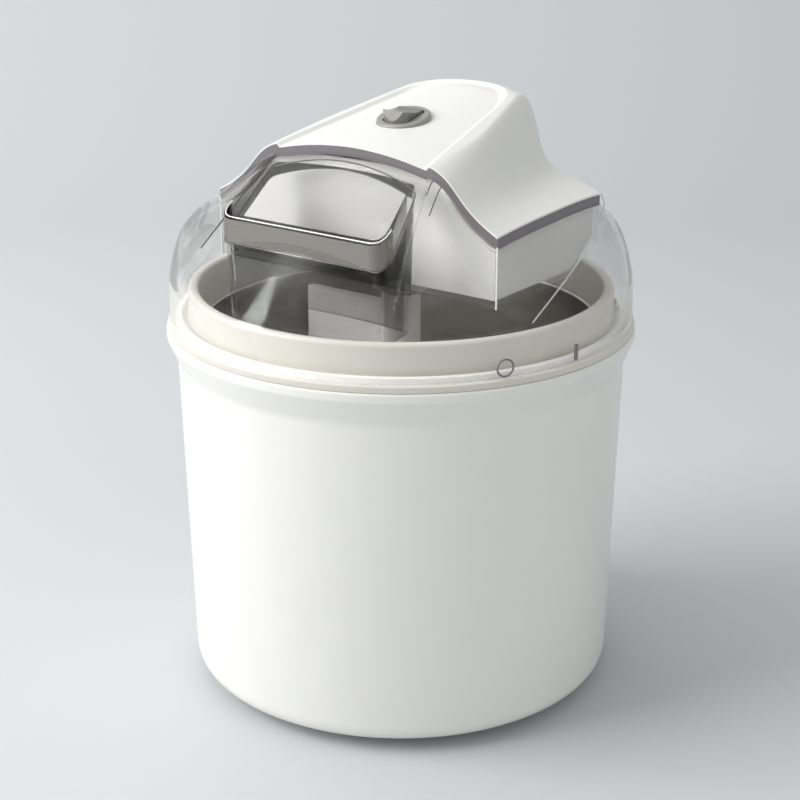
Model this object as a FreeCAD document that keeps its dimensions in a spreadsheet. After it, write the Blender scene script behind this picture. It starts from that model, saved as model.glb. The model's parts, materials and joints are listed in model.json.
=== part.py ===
"""An ice cream maker: a bucket, a freezer bowl, a paddle, a clear lid and a motor unit on top.

Millimetres, +Z up, origin on the floor under the middle of the bucket. The fill chute faces -Y.
"""
import math
import os

import FreeCAD, Part
import Sketcher
from FreeCAD import Placement, Rotation, Vector

doc = FreeCAD.newDocument("ice_cream_maker")

# ---------------------------------------------------------------------------
# Driving dimensions: alias, value in mm or degrees or teeth, what it is
# ---------------------------------------------------------------------------
DIMENSIONS = [
    ("wall", 2.5, "wall of the bucket"),
    ("base_clearance", 5.0, "floor to the underside of the bucket"),
    ("base_round", 8.0, "rounding of the bucket's lower edge"),
    ("low_radius", 92.5, "bucket radius just above the rounding"),
    ("top_radius", 95.7, "bucket radius just under the lip"),
    ("lip_start", 146.0, "height where the lip begins to flare"),
    ("lip_height", 14.0, "height of the flared lip"),
    ("lip_radius", 100.0, "outer radius of the lip"),
    ("foot_radius", 9.0, "rubber foot"),
    ("foot_circle", 68.0, "radius that the feet stand on"),
    ("foot_stem_radius", 3.0, "stem of a foot through the base"),
    ("flange_thickness", 3.0, "beige flange between bucket and lid"),
    ("flange_inset", 0.8, "flange edge inside the lip edge"),
    ("collar_radius", 90.8, "outer wall of the upstanding collar"),
    ("collar_height", 14.0, "collar above its flange"),
    ("collar_mouth", 86.0, "inner radius at the top of the collar"),
    ("collar_round", 2.0, "rounding of the collar's top edges"),
    ("bowl_mouth", 83.0, "inner radius of the liner at its top"),
    ("bowl_floor_radius", 79.0, "inner radius of the liner at its floor"),
    ("bowl_floor_height", 32.0, "liner floor above the table"),
    ("bowl_floor_round", 10.0, "rounding between liner wall and floor"),
    ("liner_thickness", 1.2, "aluminium liner"),
    ("jacket_radius", 90.4, "outer radius of the bowl's outer shell"),
    ("jacket_low_radius", 87.0, "outer radius of the outer shell at its base"),
    ("jacket_thickness", 2.0, "wall of the outer shell"),
    ("jacket_base", 14.0, "underside of the outer shell"),
    ("gel_top", 150.0, "level of the coolant gel"),
    ("gel_gap", 0.15, "skin between the gel and the walls"),
    ("seal_section", 2.4, "width of the collar's gasket"),
    ("pivot_radius", 4.0, "centre pivot in the bowl"),
    ("pivot_height", 14.0, "pivot above the liner floor"),
    ("lid_radius", 98.5, "outer radius of the lid's skirt"),
    ("lid_skirt", 9.5, "upright part of the lid's skirt"),
    ("dome_height", 79.0, "half height of the lid's elliptical dome"),
    ("lid_wall", 2.5, "wall of the clear lid"),
    ("hood_angle", 42.2, "slope of the front panel"),
    ("hood_crown", 200.0, "radius of the front panel's crown"),
    ("hood_foot_y", 71.3, "front panel's lower edge ahead of the axis"),
    ("hood_foot_z", 203.3, "height of the front panel's lower edge at the middle"),
    ("flank_angle", 54.0, "slope of the lid's flattened sides"),
    ("slip_width", 2.5, "slip ring under the lid"),
    ("slip_height", 2.2, "slip ring under the lid"),
    ("pod_half", 71.0, "half width of the motor unit"),
    ("pod_front", 34.0, "front of the motor unit ahead of the axis"),
    ("pod_back", 60.0, "back of the motor unit at the middle"),
    ("pod_back_arc", 153.0, "radius of the motor unit's back"),
    ("pocket_floor", 184.3, "underside of the lid's pocket"),
    ("pocket_wall", 2.2, "wall of the lid's pocket"),
    ("pocket_knee", 26.0, "where the pocket's floor starts to rise"),
    ("pocket_heel_y", 60.0, "back of the pocket"),
    ("pocket_heel_z", 206.6, "height where the pocket's back turns upright"),
    ("band", 3.2, "dark rim of the pocket between lid and cover"),
    ("front_band", 1.5, "the same rim along the front panel"),
    ("cover_lip", 0.8, "edge of the cover over the pocket's rim"),
    ("rim_gap", 0.1, "clearance between the pocket's rim and the cover"),
    ("panel_step", 1.4, "front panel below the hood's sides"),
    ("panel_top_half", 38.0, "half width of the front panel at its top"),
    ("panel_foot_half", 50.0, "half width of the front panel at its foot"),
    ("cover_wall", 2.4, "wall of the motor cover"),
    ("tray_gap", 0.3, "clearance between tray and pocket"),
    ("tray_wall", 2.2, "wall of the motor tray"),
    ("tray_top", 234.0, "highest edge of the motor tray"),
    ("deck_recess", 2.0, "deck below the ridge around it"),
    ("ridge_width", 6.0, "ridge around the deck"),
    ("chute_front", 68.0, "front of the fill chute ahead of the axis"),
    ("chute_half", 42.0, "half width of the chute at its front"),
    ("chute_back_half", 37.5, "half width of the chute at its back"),
    ("chute_round", 7.0, "rounding of the chute's corners"),
    ("chute_wall", 2.0, "wall of the chute"),
    ("chute_foot", 170.0, "lower end of the chute"),
    ("lip_front_z", 212.0, "top of the chute's raised front lip"),
    ("lip_back_z", 230.0, "level where the lip runs out at the back"),
    ("neck_radius", 12.0, "neck of the tray around the drive shaft"),
    ("neck_foot", 174.0, "lower end of the neck"),
    ("neck_gap", 0.5, "clearance between neck and pocket floor"),
    ("shaft_radius", 4.0, "drive shaft"),
    ("shaft_top", 200.0, "upper end of the drive shaft"),
    ("shaft_foot", 157.0, "lower end of the square drive"),
    ("square_size", 6.0, "square drive across the flats"),
    ("square_gap", 0.15, "clearance round the square drive"),
    ("bush_radius", 6.5, "outside of the shaft bush"),
    ("running_gap", 0.05, "radial clearance of a running fit"),
    ("hub_radius", 8.5, "paddle hub"),
    ("hub_top", 172.0, "top of the paddle hub"),
    ("upper_vane_reach", 50.0, "paddle's upper vane"),
    ("upper_vane_top", 166.0, "top of the paddle's upper vane"),
    ("lower_vane_reach", 74.0, "paddle's lower vanes"),
    ("lower_vane_top", 122.0, "top of the paddle's lower vanes"),
    ("vane_thickness", 4.0, "paddle's vanes"),
    ("vane_floor_gap", 3.0, "paddle above the liner floor"),
    ("fine_module", 0.8, "module of the first two gear stages"),
    ("coarse_module", 1.0, "module of the last gear stage"),
    ("small_teeth", 12, "teeth of the pinions of the first two stages"),
    ("large_teeth", 48, "teeth of the wheels of the first two stages"),
    ("last_pinion_teeth", 14, "teeth of the last pinion"),
    ("output_teeth", 46, "teeth of the output gear"),
    ("motor_y", 33.5, "motor behind the drive shaft"),
    ("motor_radius", 17.5, "motor can"),
    ("motor_length", 30.0, "motor can"),
    ("motor_seat", 210.0, "underside of the motor"),
    ("motor_shaft_radius", 1.2, "motor shaft"),
    ("axle_radius", 1.5, "gear axles"),
    ("plate_thickness", 2.0, "gear plate"),
    ("leg_radius", 3.5, "legs of the gear plate"),
    ("screw_radius", 1.5, "self-tapping screws"),
    ("screw_head", 2.8, "screw head radius"),
    ("switch_y", 2.0, "switch behind the axis"),
    ("switch_seat_z", 244.9, "height of the switch seat"),
    ("deck_tilt", 13.0, "slope of the deck at the switch"),
    ("bezel_radius", 11.5, "switch bezel"),
    ("bezel_height", 1.8, "switch bezel above its seat"),
    ("barrel_radius", 9.9, "switch body through the cover"),
    ("barrel_depth", 13.0, "switch body under the cover"),
    ("rocker_radius", 8.5, "rocker"),
    ("rocker_half", 6.2, "half width of the rocker"),
    ("rocker_gap", 0.4, "clearance round the rocker"),
    ("grommet_radius", 5.5, "cord grommet"),
    ("grommet_z", 246.2, "height of the cord grommet"),
    ("mark_height", 0.6, "raised lock marks on the skirt"),
]

sheet = doc.addObject("Spreadsheet::Sheet", "Sizes")
for row, (alias, value, note) in enumerate(DIMENSIONS, start=1):
    sheet.set(f"A{row}", note)
    sheet.set(f"B{row}", str(value))
    sheet.setAlias(f"B{row}", alias)
doc.recompute()


class Size:
    """A number together with the spreadsheet formula that gives it."""

    def __init__(self, value, formula):
        self.value = float(value)
        self.formula = formula

    def _with(self, other, sign, result):
        text = other.formula if isinstance(other, Size) else repr(float(other))
        return Size(result, f"({self.formula} {sign} {text})")

    def __add__(self, other):
        return self._with(other, "+", self.value + float(other))

    def __sub__(self, other):
        return self._with(other, "-", self.value - float(other))

    def __mul__(self, other):
        return self._with(other, "*", self.value * float(other))

    def __truediv__(self, other):
        return self._with(other, "/", self.value / float(other))

    def __neg__(self):
        return Size(-self.value, f"(0 - {self.formula})")

    def __float__(self):
        return self.value


def fixed(number):
    """A plain number as a Size."""
    return Size(number, repr(float(number)))


class Sizes:
    """Every alias of the sheet as a Size."""


S = Sizes()
for alias, _, _ in DIMENSIONS:
    setattr(S, alias, Size(sheet.get(alias), f"Sizes.{alias}"))

# Heights that several pieces share
rim_top = S.lip_start + S.lip_height
flange_top = rim_top + S.flange_thickness
dome_start = flange_top + S.lid_skirt
flange_radius = S.lip_radius - S.flange_inset
inner_lid_radius = S.lid_radius - S.lid_wall
PARTS = []


# ---------------------------------------------------------------------------
# Helpers
# ---------------------------------------------------------------------------
def bind(feature, name, size):
    """Set a property from a Size, with its formula when it has one."""
    if isinstance(size, Size):
        feature.setExpression(name, size.formula)
    else:
        setattr(feature, name, size)


def place(feature, at=(0, 0, 0), turn=None):
    """Put a primitive at a point whose coordinates may be Sizes."""
    spot = Vector(*[float(c) for c in at])
    feature.Placement = Placement(spot, turn or Rotation())
    for axis, c in zip("xyz", at):
        if isinstance(c, Size):
            feature.setExpression(f"Placement.Base.{axis}", c.formula)
    return feature


def cylinder(name, radius, height, at=(0, 0, 0), turn=None):
    feature = doc.addObject("Part::Cylinder", name)
    bind(feature, "Radius", radius)
    bind(feature, "Height", height)
    return place(feature, at, turn)


def box(name, length, width, height, at=(0, 0, 0), turn=None):
    feature = doc.addObject("Part::Box", name)
    bind(feature, "Length", length)
    bind(feature, "Width", width)
    bind(feature, "Height", height)
    return place(feature, at, turn)


def cut(name, base, *tools):
    feature = doc.addObject("Part::Cut", name)
    feature.Base = base
    feature.Tool = tools[0] if len(tools) == 1 else fuse(name + "_tools", *tools)
    return feature


def fuse(name, *shapes):
    feature = doc.addObject("Part::MultiFuse", name)
    feature.Shapes = list(shapes)
    return feature


def common(name, *shapes):
    feature = doc.addObject("Part::MultiCommon", name)
    feature.Shapes = list(shapes)
    return feature


def group(name, *shapes):
    """Separate solids of one sub-part."""
    feature = doc.addObject("Part::Compound", name)
    feature.Links = list(shapes)
    return feature


def shape_feature(name, shape):
    feature = doc.addObject("Part::Feature", name)
    feature.Shape = shape
    return feature


def finished(feature, label):
    """Name a feature as one of the sub-parts that are written out."""
    feature.Label = label
    PARTS.append(feature)
    return feature


def plane_of(body, role):
    return next(f for f in body.Origin.OriginFeatures if f.Role == role)


def outline_sketch(body, name, role, outline):
    """A closed outline whose every corner is tied to the sheet."""
    sketch = body.newObject("Sketcher::SketchObject", name)
    sketch.AttachmentSupport = [(plane_of(body, role), "")]
    sketch.MapMode = "FlatFace"
    corners = [Vector(float(a), float(b), 0) for a, b in outline]
    count = len(corners)
    for i in range(count):
        sketch.addGeometry(Part.LineSegment(corners[i], corners[(i + 1) % count]), False)
    for i in range(count):
        sketch.addConstraint(Sketcher.Constraint("Coincident", i, 2, (i + 1) % count, 1))
    for i, (a, b) in enumerate(outline):
        tie(sketch, "DistanceX", i, a, -2)
        tie(sketch, "DistanceY", i, b, -1)
    return sketch


def tie(sketch, kind, corner, size, axis_line):
    """Tie one coordinate of a corner to its formula, or to the axis when it is zero."""
    if float(size) == 0:
        sketch.addConstraint(Sketcher.Constraint("PointOnObject", corner, 1, axis_line))
        return
    index = sketch.addConstraint(Sketcher.Constraint(kind, corner, 1, float(size)))
    if isinstance(size, Size):
        sketch.setExpression(f"Constraints[{index}]", size.formula)


def turned(label, outline):
    """A body turned about the vertical axis from an outline of (radius, height) corners."""
    body = doc.addObject("PartDesign::Body", label)
    sketch = outline_sketch(body, label + "_outline", "XZ_Plane", outline)
    turn = body.newObject("PartDesign::Revolution", label + "_turn")
    turn.Profile = sketch
    turn.ReferenceAxis = (sketch, ["V_Axis"])
    turn.Angle = 360
    doc.recompute()
    return body


def round_rings(body, name, rings, radius):
    """Round the circular edges that lie at the given (radius, height) places."""
    base = body.Tip
    names = []
    for number, edge in enumerate(base.Shape.Edges, start=1):
        if not isinstance(edge.Curve, Part.Circle):
            continue
        for r, z in rings:
            if abs(edge.Curve.Radius - float(r)) < 0.01 and abs(edge.Curve.Center.z - float(z)) < 0.01:
                names.append(f"Edge{number}")
    if not names:
        raise ValueError(f"no edge to round in {name}")
    fillet = body.newObject("PartDesign::Fillet", name)
    fillet.Base = (base, names)
    bind(fillet, "Radius", radius)
    doc.recompute()
    return body


# ---------------------------------------------------------------------------
# Bucket and feet
# ---------------------------------------------------------------------------
base_floor = S.base_clearance + S.wall
lip_inner = S.top_radius - S.wall


def foot_places():
    for number in range(4):
        angle = math.radians(45 + 90 * number)
        yield number + 1, S.foot_circle * math.cos(angle), S.foot_circle * math.sin(angle)


def make_housing():
    outline = [
        (fixed(0), S.base_clearance),
        (S.low_radius, S.base_clearance),
        (S.top_radius, S.lip_start),
        (S.lip_radius, rim_top - S.flange_thickness),
        (S.lip_radius, rim_top),
        (S.lip_radius - S.wall - 1.2, rim_top),
        (S.lip_radius - S.wall - 1.2, rim_top - S.flange_thickness),
        (lip_inner, S.lip_start),
        (S.low_radius - S.wall, base_floor),
        (fixed(0), base_floor),
    ]
    body = turned("bucket", outline)
    round_rings(body, "bucket_foot_round", [(S.low_radius, S.base_clearance)], S.base_round)
    round_rings(body, "bucket_inner_round", [(S.low_radius - S.wall, base_floor)], S.base_round - S.wall)
    round_rings(body, "bucket_lip_round", [(S.lip_radius, rim_top)], S.flange_thickness / 2)
    holes = [
        cylinder(f"foot_hole_{n}", S.foot_stem_radius, S.wall, (x, y, S.base_clearance))
        for n, x, y in foot_places()
    ]
    finished(cut("bucket_bored", body, *holes), "outer_housing")


def make_feet():
    for n, x, y in foot_places():
        pad = cylinder(f"foot_pad_{n}", S.foot_radius, S.base_clearance, (x, y, fixed(0)))
        stem = cylinder(f"foot_stem_{n}", S.foot_stem_radius, S.wall, (x, y, S.base_clearance))
        head = cylinder(f"foot_head_{n}", S.foot_stem_radius * 1.5, S.wall / 2, (x, y, base_floor))
        finished(fuse(f"foot_solid_{n}", pad, stem, head), f"foot_{n}")


# ---------------------------------------------------------------------------
# Freezer bowl
# ---------------------------------------------------------------------------
jacket_inner = S.jacket_radius - S.jacket_thickness
jacket_low_inner = S.jacket_low_radius - S.jacket_thickness
jacket_floor = S.jacket_base + S.jacket_thickness
liner_outer = S.bowl_mouth + S.liner_thickness
liner_low_outer = S.bowl_floor_radius + S.liner_thickness
liner_underside = S.bowl_floor_height - S.liner_thickness
liner_rim_top = rim_top + S.liner_thickness


def taper(low, high, low_z, high_z, z):
    """Radius at height z on a straight taper."""
    return low + (high - low) * ((z - low_z) / (high_z - low_z))


def make_bowl():
    liner = turned("liner_turned", [
        (fixed(0), liner_underside),
        (liner_low_outer, liner_underside),
        (liner_outer, rim_top),
        (S.jacket_radius, rim_top),
        (S.jacket_radius, liner_rim_top),
        (S.bowl_mouth, liner_rim_top),
        (S.bowl_floor_radius, S.bowl_floor_height),
        (fixed(0), S.bowl_floor_height),
    ])
    round_rings(liner, "liner_foot_round", [(liner_low_outer, liner_underside)],
                S.bowl_floor_round + S.liner_thickness)
    round_rings(liner, "liner_floor_round", [(S.bowl_floor_radius, S.bowl_floor_height)], S.bowl_floor_round)
    finished(liner, "bowl_liner")

    finished(turned("jacket_turned", [
        (fixed(0), S.jacket_base),
        (S.jacket_low_radius, S.jacket_base),
        (S.jacket_radius, rim_top),
        (jacket_inner, rim_top),
        (jacket_low_inner, jacket_floor),
        (fixed(0), jacket_floor),
    ]), "bowl_jacket")

    gel_outer = taper(jacket_low_inner, jacket_inner, jacket_floor, rim_top, S.gel_top)
    gel_inner = taper(liner_low_outer, liner_outer, liner_underside, rim_top, S.gel_top)
    gap = S.gel_gap
    gel = turned("gel_turned", [
        (fixed(0), jacket_floor),
        (jacket_low_inner - gap, jacket_floor),
        (gel_outer - gap, S.gel_top),
        (gel_inner + gap, S.gel_top),
        (liner_low_outer + gap, liner_underside - gap),
        (fixed(0), liner_underside - gap),
    ])
    round_rings(gel, "gel_round", [(liner_low_outer + gap, liner_underside - gap)],
                S.bowl_floor_round + S.liner_thickness)
    finished(gel, "coolant_gel")

    collar = turned("collar_turned", [
        (S.bowl_mouth + 1.4, liner_rim_top),
        (S.jacket_radius, liner_rim_top),
        (S.jacket_radius, rim_top),
        (flange_radius, rim_top),
        (flange_radius, flange_top),
        (S.collar_radius, flange_top),
        (S.collar_radius - 0.5, flange_top + S.collar_height),
        (S.collar_mouth, flange_top + S.collar_height),
    ])
    crown = [(S.collar_radius - 0.5, flange_top + S.collar_height), (S.collar_mouth, flange_top + S.collar_height)]
    round_rings(collar, "collar_round_feature", crown, S.collar_round)
    gasket_radius = S.bowl_mouth + S.seal_section + 1.2
    groove = cylinder("gasket_groove_outer", gasket_radius + S.seal_section / 2, S.seal_section / 2,
                      (0, 0, liner_rim_top))
    island = cylinder("gasket_groove_inner", gasket_radius - S.seal_section / 2, S.seal_section / 2,
                      (0, 0, liner_rim_top))
    ring = cut("gasket_ring", groove, island)
    finished(cut("collar_grooved", collar, ring), "bowl_collar")
    finished(cut("gasket_solid", groove, island), "collar_gasket")

    pin = cylinder("pivot_pin", S.pivot_radius, S.pivot_height, (0, 0, S.bowl_floor_height))
    disc = cylinder("pivot_disc", S.pivot_radius * 2.5, 1.5, (0, 0, S.bowl_floor_height))
    finished(fuse("pivot_solid", pin, disc), "bowl_pivot")


# ---------------------------------------------------------------------------
# Forms that the lid, the tray and the cover share
# ---------------------------------------------------------------------------
hood = math.radians(float(S.hood_angle))
facet_fall = math.tan(math.radians(float(S.flank_angle)))


def dome_form(name, grow):
    """The lid's dome and skirt, moved out by grow."""
    radius = S.lid_radius + grow
    dome = doc.addObject("Part::Ellipsoid", name + "_dome")
    bind(dome, "Radius1", S.dome_height + grow)
    bind(dome, "Radius2", radius)
    bind(dome, "Radius3", radius)
    dome.Angle1 = 0
    place(dome, (0, 0, dome_start))
    skirt = cylinder(name + "_skirt", radius, S.lid_skirt, (0, 0, flange_top))
    return fuse(name + "_whole", dome, skirt)


def hood_form(name, grow):
    """The large cylinder that crowns the front panel; its axis runs along the slope."""
    reach = 500.0
    back_y = -S.hood_foot_y + S.hood_crown * math.sin(hood) - reach / 2 * math.cos(hood)
    back_z = S.hood_foot_z - S.hood_crown * math.cos(hood) - reach / 2 * math.sin(hood)
    return cylinder(name, S.hood_crown + grow, fixed(reach), (fixed(0), back_y, back_z),
                    Rotation(Vector(1, 0, 0), float(S.hood_angle) - 90))


def panel_column(name):
    """The front panel's outline seen from above, widening towards the front."""
    front, back = -float(S.lid_radius) - 10.0, -float(S.pod_front) + 8.0
    lean = (float(S.panel_foot_half) - float(S.panel_top_half)) / (float(S.hood_foot_y) - float(S.pod_front))
    half_back = float(S.panel_top_half) - 8.0 * lean
    half_front = half_back + (back - front) * lean
    corners = [Vector(-half_front, front, 150), Vector(half_front, front, 150),
               Vector(half_back, back, 150), Vector(-half_back, back, 150)]
    return shape_feature(name, Part.Face(Part.makePolygon(corners + corners[:1])).extrude(Vector(0, 0, 150)))


def hooded(name, grow, under):
    """Dome, hood and flanks together; the front panel lies panel_step lower than the hood's sides."""
    whole = common(name + "_sides", dome_form(name, grow[0]), hood_form(name + "_hood", S.panel_step + grow[1]), under)
    above = cut(name + "_above", panel_column(name + "_column"), hood_form(name + "_panel", grow[1]))
    return cut(name, whole, above)


def lid_form(name, wall):
    """The lid's outer form, with every face moved in by wall."""
    lowered = float(S.band + S.cover_lip) + float(wall) * 1.5
    flanks = bell(name + "_flanks", lowered, faceted=True)
    return hooded(name, (-wall, -wall), flanks)


def band_form(name, gap):
    """What the pocket's rim reaches up to, under the lip of the cover."""
    flanks = bell(name + "_flanks", float(S.cover_lip) - float(gap))
    return hooded(name, (S.band * 0.75 + gap, S.front_band + gap), flanks)


def footprint(name, inset, low=150.0, high=300.0):
    """The motor unit's upright outline: straight sides and front, curved back."""
    half = S.pod_half - inset
    sides = box(name + "_sides", half * 2, S.pod_front + S.pod_back + 5.0, fixed(high - low),
                (-half, -(S.pod_front - inset), fixed(low)))
    back = cylinder(name + "_back", S.pod_back_arc - inset, fixed(high - low),
                    (fixed(0), S.pod_back - S.pod_back_arc, fixed(low)))
    return common(name, sides, back)


rise = math.atan2(float(S.pocket_heel_z - S.pocket_floor), float(S.pocket_heel_y - S.pocket_knee))


def side_view(name, inset, half):
    """The pocket's outline seen from the side, drawn right across the motor unit."""
    knee_shift = float(inset) * math.tan(rise / 2)
    floor = float(S.pocket_floor) + float(inset)
    knee = float(S.pocket_knee) - knee_shift
    back = float(S.pocket_heel_y) - float(inset)
    heel = float(S.pocket_heel_z) + float(inset) * math.tan((math.pi / 2 - rise) / 2)
    front = -float(S.pod_front) + float(inset)
    top = 300.0
    points = [(front, floor), (knee, floor), (back, heel), (back, top), (front, top)]
    corners = [Vector(-float(half), y, z) for y, z in points]
    face = Part.Face(Part.makePolygon(corners + corners[:1]))
    return shape_feature(name, face.extrude(Vector(2 * float(half), 0, 0)))


def cavity(name, inset):
    """What the pocket encloses when its faces are moved in by inset."""
    return common(name, footprint(name + "_plan", inset), side_view(name + "_view", inset, S.pod_half))


# ---------------------------------------------------------------------------
# The bell: a crowned deck that falls in hollow flanks to low wings
# ---------------------------------------------------------------------------
class Section:
    """One cross-section of the bell: the deck's edge, the hollow flank and the wing's edge."""

    def __init__(self, y, crown, deck, shoulder, waist, toe, wing_height):
        self.y = y
        self.crown = crown
        self.flank = [deck, shoulder, waist, toe, (float(S.pod_half), wing_height)]


deck_front, deck_back = -float(S.pod_front), float(S.pod_back) - 15.0
SECTIONS = [
    Section(-110.0, 5.5, (46.0, 219.0), (51.0, 214.0), (58.0, 207.0), (64.0, 202.0), 197.0),
    Section(deck_front, 5.5, (43.5, 235.6), (48.0, 231.6), (55.5, 223.8), (63.0, 217.8), 213.2),
    Section(2.0, 5.0, (39.5, 242.2), (43.0, 236.5), (48.5, 227.0), (57.0, 220.2), 215.7),
    Section(deck_back, 3.6, (30.0, 251.0), (33.5, 241.0), (37.0, 231.5), (48.6, 221.4), 216.0),
    Section(110.0, 3.0, (20.0, 262.0), (24.0, 251.0), (29.0, 240.0), (42.0, 222.0), 205.0),
]


def bell_wire(section, inset, faceted):
    """One cross-section closed along its foot; a faceted one goes on down at the flank's slope."""
    y, foot = section.y, 150.0
    right = [Vector(x - inset, y, z - inset * 0.6) for x, z in section.flank[:-1]]
    right[0].z = section.flank[0][1] - inset
    wing_x, wing_z = section.flank[-1]
    right.append(Vector(wing_x, y, wing_z - inset))
    reach = 40.0
    fall = facet_fall if faceted else 0.15
    right_end = Vector(wing_x + reach, y, wing_z - inset - reach * (fall if faceted else 0.15))
    mirror = [Vector(-p.x, p.y, p.z) for p in reversed(right)]
    left_end = Vector(-right_end.x, y, right_end.z)
    right_curve, left_curve = Part.BSplineCurve(), Part.BSplineCurve()
    right_curve.interpolate(right)
    left_curve.interpolate(mirror)
    top = Vector(0, y, right[0].z + section.crown)
    return Part.Wire([
        Part.Arc(mirror[-1], top, right[0]).toShape(),
        right_curve.toShape(),
        Part.makeLine(right[-1], right_end),
        Part.makeLine(right_end, Vector(right_end.x, y, foot)),
        Part.makeLine(Vector(right_end.x, y, foot), Vector(left_end.x, y, foot)),
        Part.makeLine(Vector(left_end.x, y, foot), left_end),
        Part.makeLine(left_end, mirror[0]),
        left_curve.toShape(),
    ])


def bell(name, inset, faceted=False):
    wires = [bell_wire(section, inset, faceted) for section in SECTIONS]
    return shape_feature(name, Part.makeLoft(wires, True, False))


def deck_wire(section, drop):
    """A cross-section of everything that lies more than drop under the deck's crown."""
    y, low = section.y, 180.0
    half, height = section.flank[0]
    left, right = Vector(-half, y, height - drop), Vector(half, y, height - drop)
    return Part.Wire([
        Part.Arc(left, Vector(0, y, height - drop + section.crown), right).toShape(),
        Part.makeLine(right, Vector(half, y, low)),
        Part.makeLine(Vector(half, y, low), Vector(-half, y, low)),
        Part.makeLine(Vector(-half, y, low), left),
    ])


def deck_column(inset):
    """The recessed deck's outline seen from above, open at the front."""
    width = float(S.ridge_width) + inset
    lean = (SECTIONS[1].flank[0][0] - SECTIONS[3].flank[0][0]) / (deck_back - deck_front)
    front, side_end = deck_front - 20.0, deck_back - 3.0
    half_front = SECTIONS[1].flank[0][0] - width + lean * 20.0
    half_back = SECTIONS[3].flank[0][0] - width + lean * 3.0
    outline = Part.Wire([
        Part.makeLine(Vector(-half_front, front, 190), Vector(half_front, front, 190)),
        Part.makeLine(Vector(half_front, front, 190), Vector(half_back, side_end, 190)),
        Part.Arc(Vector(half_back, side_end, 190), Vector(0, float(S.pod_back) - width, 190),
                 Vector(-half_back, side_end, 190)).toShape(),
        Part.makeLine(Vector(-half_back, side_end, 190), Vector(-half_front, front, 190)),
    ])
    column = Part.Face(outline).extrude(Vector(0, 0, 120))
    corners = [e for e in column.Edges if abs(e.Vertexes[0].Y - side_end) < 0.1 and
               abs(e.Vertexes[0].Z - e.Vertexes[-1].Z) > 1]
    return column.makeFillet(8.0, corners)


def under_deck(drop):
    return Part.makeLoft([deck_wire(section, drop) for section in SECTIONS], True, False)


# ---------------------------------------------------------------------------
# Lid
# ---------------------------------------------------------------------------
def chute_prism(name, inset, low, high):
    """The chute's upright outline, a trapezium with rounded corners."""
    front = -(float(S.chute_front) - inset)
    back = -(float(S.pod_front) + 0.2) if inset == 0 else -(float(S.pod_front) + float(S.chute_wall))
    lean = (float(S.chute_half) - float(S.chute_back_half)) / (float(S.chute_front) - float(S.pod_front))
    half_front = float(S.chute_half) - inset - lean * inset
    half_back = half_front - lean * (back - front)
    corners = [Vector(-half_front, front, low), Vector(half_front, front, low),
               Vector(half_back, back, low), Vector(-half_back, back, low)]
    prism = Part.Face(Part.makePolygon(corners + corners[:1])).extrude(Vector(0, 0, high - low))
    upright = [e for e in prism.Edges if abs(e.Vertexes[0].Z - e.Vertexes[-1].Z) > 1]
    prism = prism.makeFillet(float(S.chute_round) - inset * 0.6, upright)
    return shape_feature(name, prism)


def under_lip_plane(name):
    """Everything under the sloping plane that trims the chute's raised lip."""
    front_y, back_y = -float(S.chute_front), -float(S.pod_front) - 6.0
    slope = (float(S.lip_back_z) - float(S.lip_front_z)) / (back_y - front_y)
    reach = 60.0
    corners = [
        Vector(-80, front_y - reach, float(S.lip_front_z) - slope * reach),
        Vector(-80, back_y + reach, float(S.lip_back_z) + slope * reach),
        Vector(-80, back_y + reach, 120),
        Vector(-80, front_y - reach, 120),
    ]
    return shape_feature(name, Part.Face(Part.makePolygon(corners + corners[:1])).extrude(Vector(160, 0, 0)))


def side_cheeks(name):
    """Two upright cheeks that carry the pocket's sides down and back to the dome."""
    thick = float(S.pocket_wall)
    front_y, foot_z = -4.0, float(S.chute_foot) - 3.0
    back_y = float(S.pod_back) - 3.5
    cheeks = []
    for sign in (-1, 1):
        x = sign * (float(S.pod_half) - thick / 2) - thick / 2
        top_front, foot = Vector(x, front_y, float(S.pocket_floor)), Vector(x, front_y, foot_z)
        heel, crest = Vector(x, back_y, 204.0), Vector(x, back_y - 6.0, 212.0)
        inner = Vector(x, 30.0, 205.0)
        belly = Part.BSplineCurve()
        belly.interpolate([foot, Vector(x, 14.0, 175.8), Vector(x, 38.0, 187.0), Vector(x, 53.0, 197.5), heel])
        outline = Part.Wire([
            Part.makeLine(top_front, foot),
            belly.toShape(),
            Part.makeLine(heel, crest),
            Part.makeLine(crest, inner),
            Part.makeLine(inner, top_front),
        ])
        cheeks.append(Part.Face(outline).extrude(Vector(thick, 0, 0)))
    return shape_feature(name, Part.makeCompound(cheeks))


def lock_marks(name):
    """An open ring and a bar raised on the skirt beside each other."""
    radius = float(S.lid_radius)
    height = float(flange_top) + float(S.lid_skirt) / 2
    depth = float(S.mark_height)
    marks = []
    for bearing, ring in ((-29.8, True), (-9.7, False)):
        angle = math.radians(bearing)
        outward = Vector(math.cos(angle), math.sin(angle), 0)
        start = outward * (radius - 1.0) + Vector(0, 0, height)
        if ring:
            mark = Part.makeCylinder(3.1, 1.0 + depth, start, outward)
            mark = mark.cut(Part.makeCylinder(2.2, 3.0, start + outward * 0.6, outward))
        else:
            mark = Part.makeBox(1.0 + depth, 1.8, 6.4)
            mark.Placement = Placement(start - Vector(0, 0, 3.2) + Vector(math.sin(angle), -math.cos(angle), 0) * 0.9,
                                       Rotation(Vector(0, 0, 1), bearing))
        marks.append(mark)
    return shape_feature(name, Part.makeCompound(marks))


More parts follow.
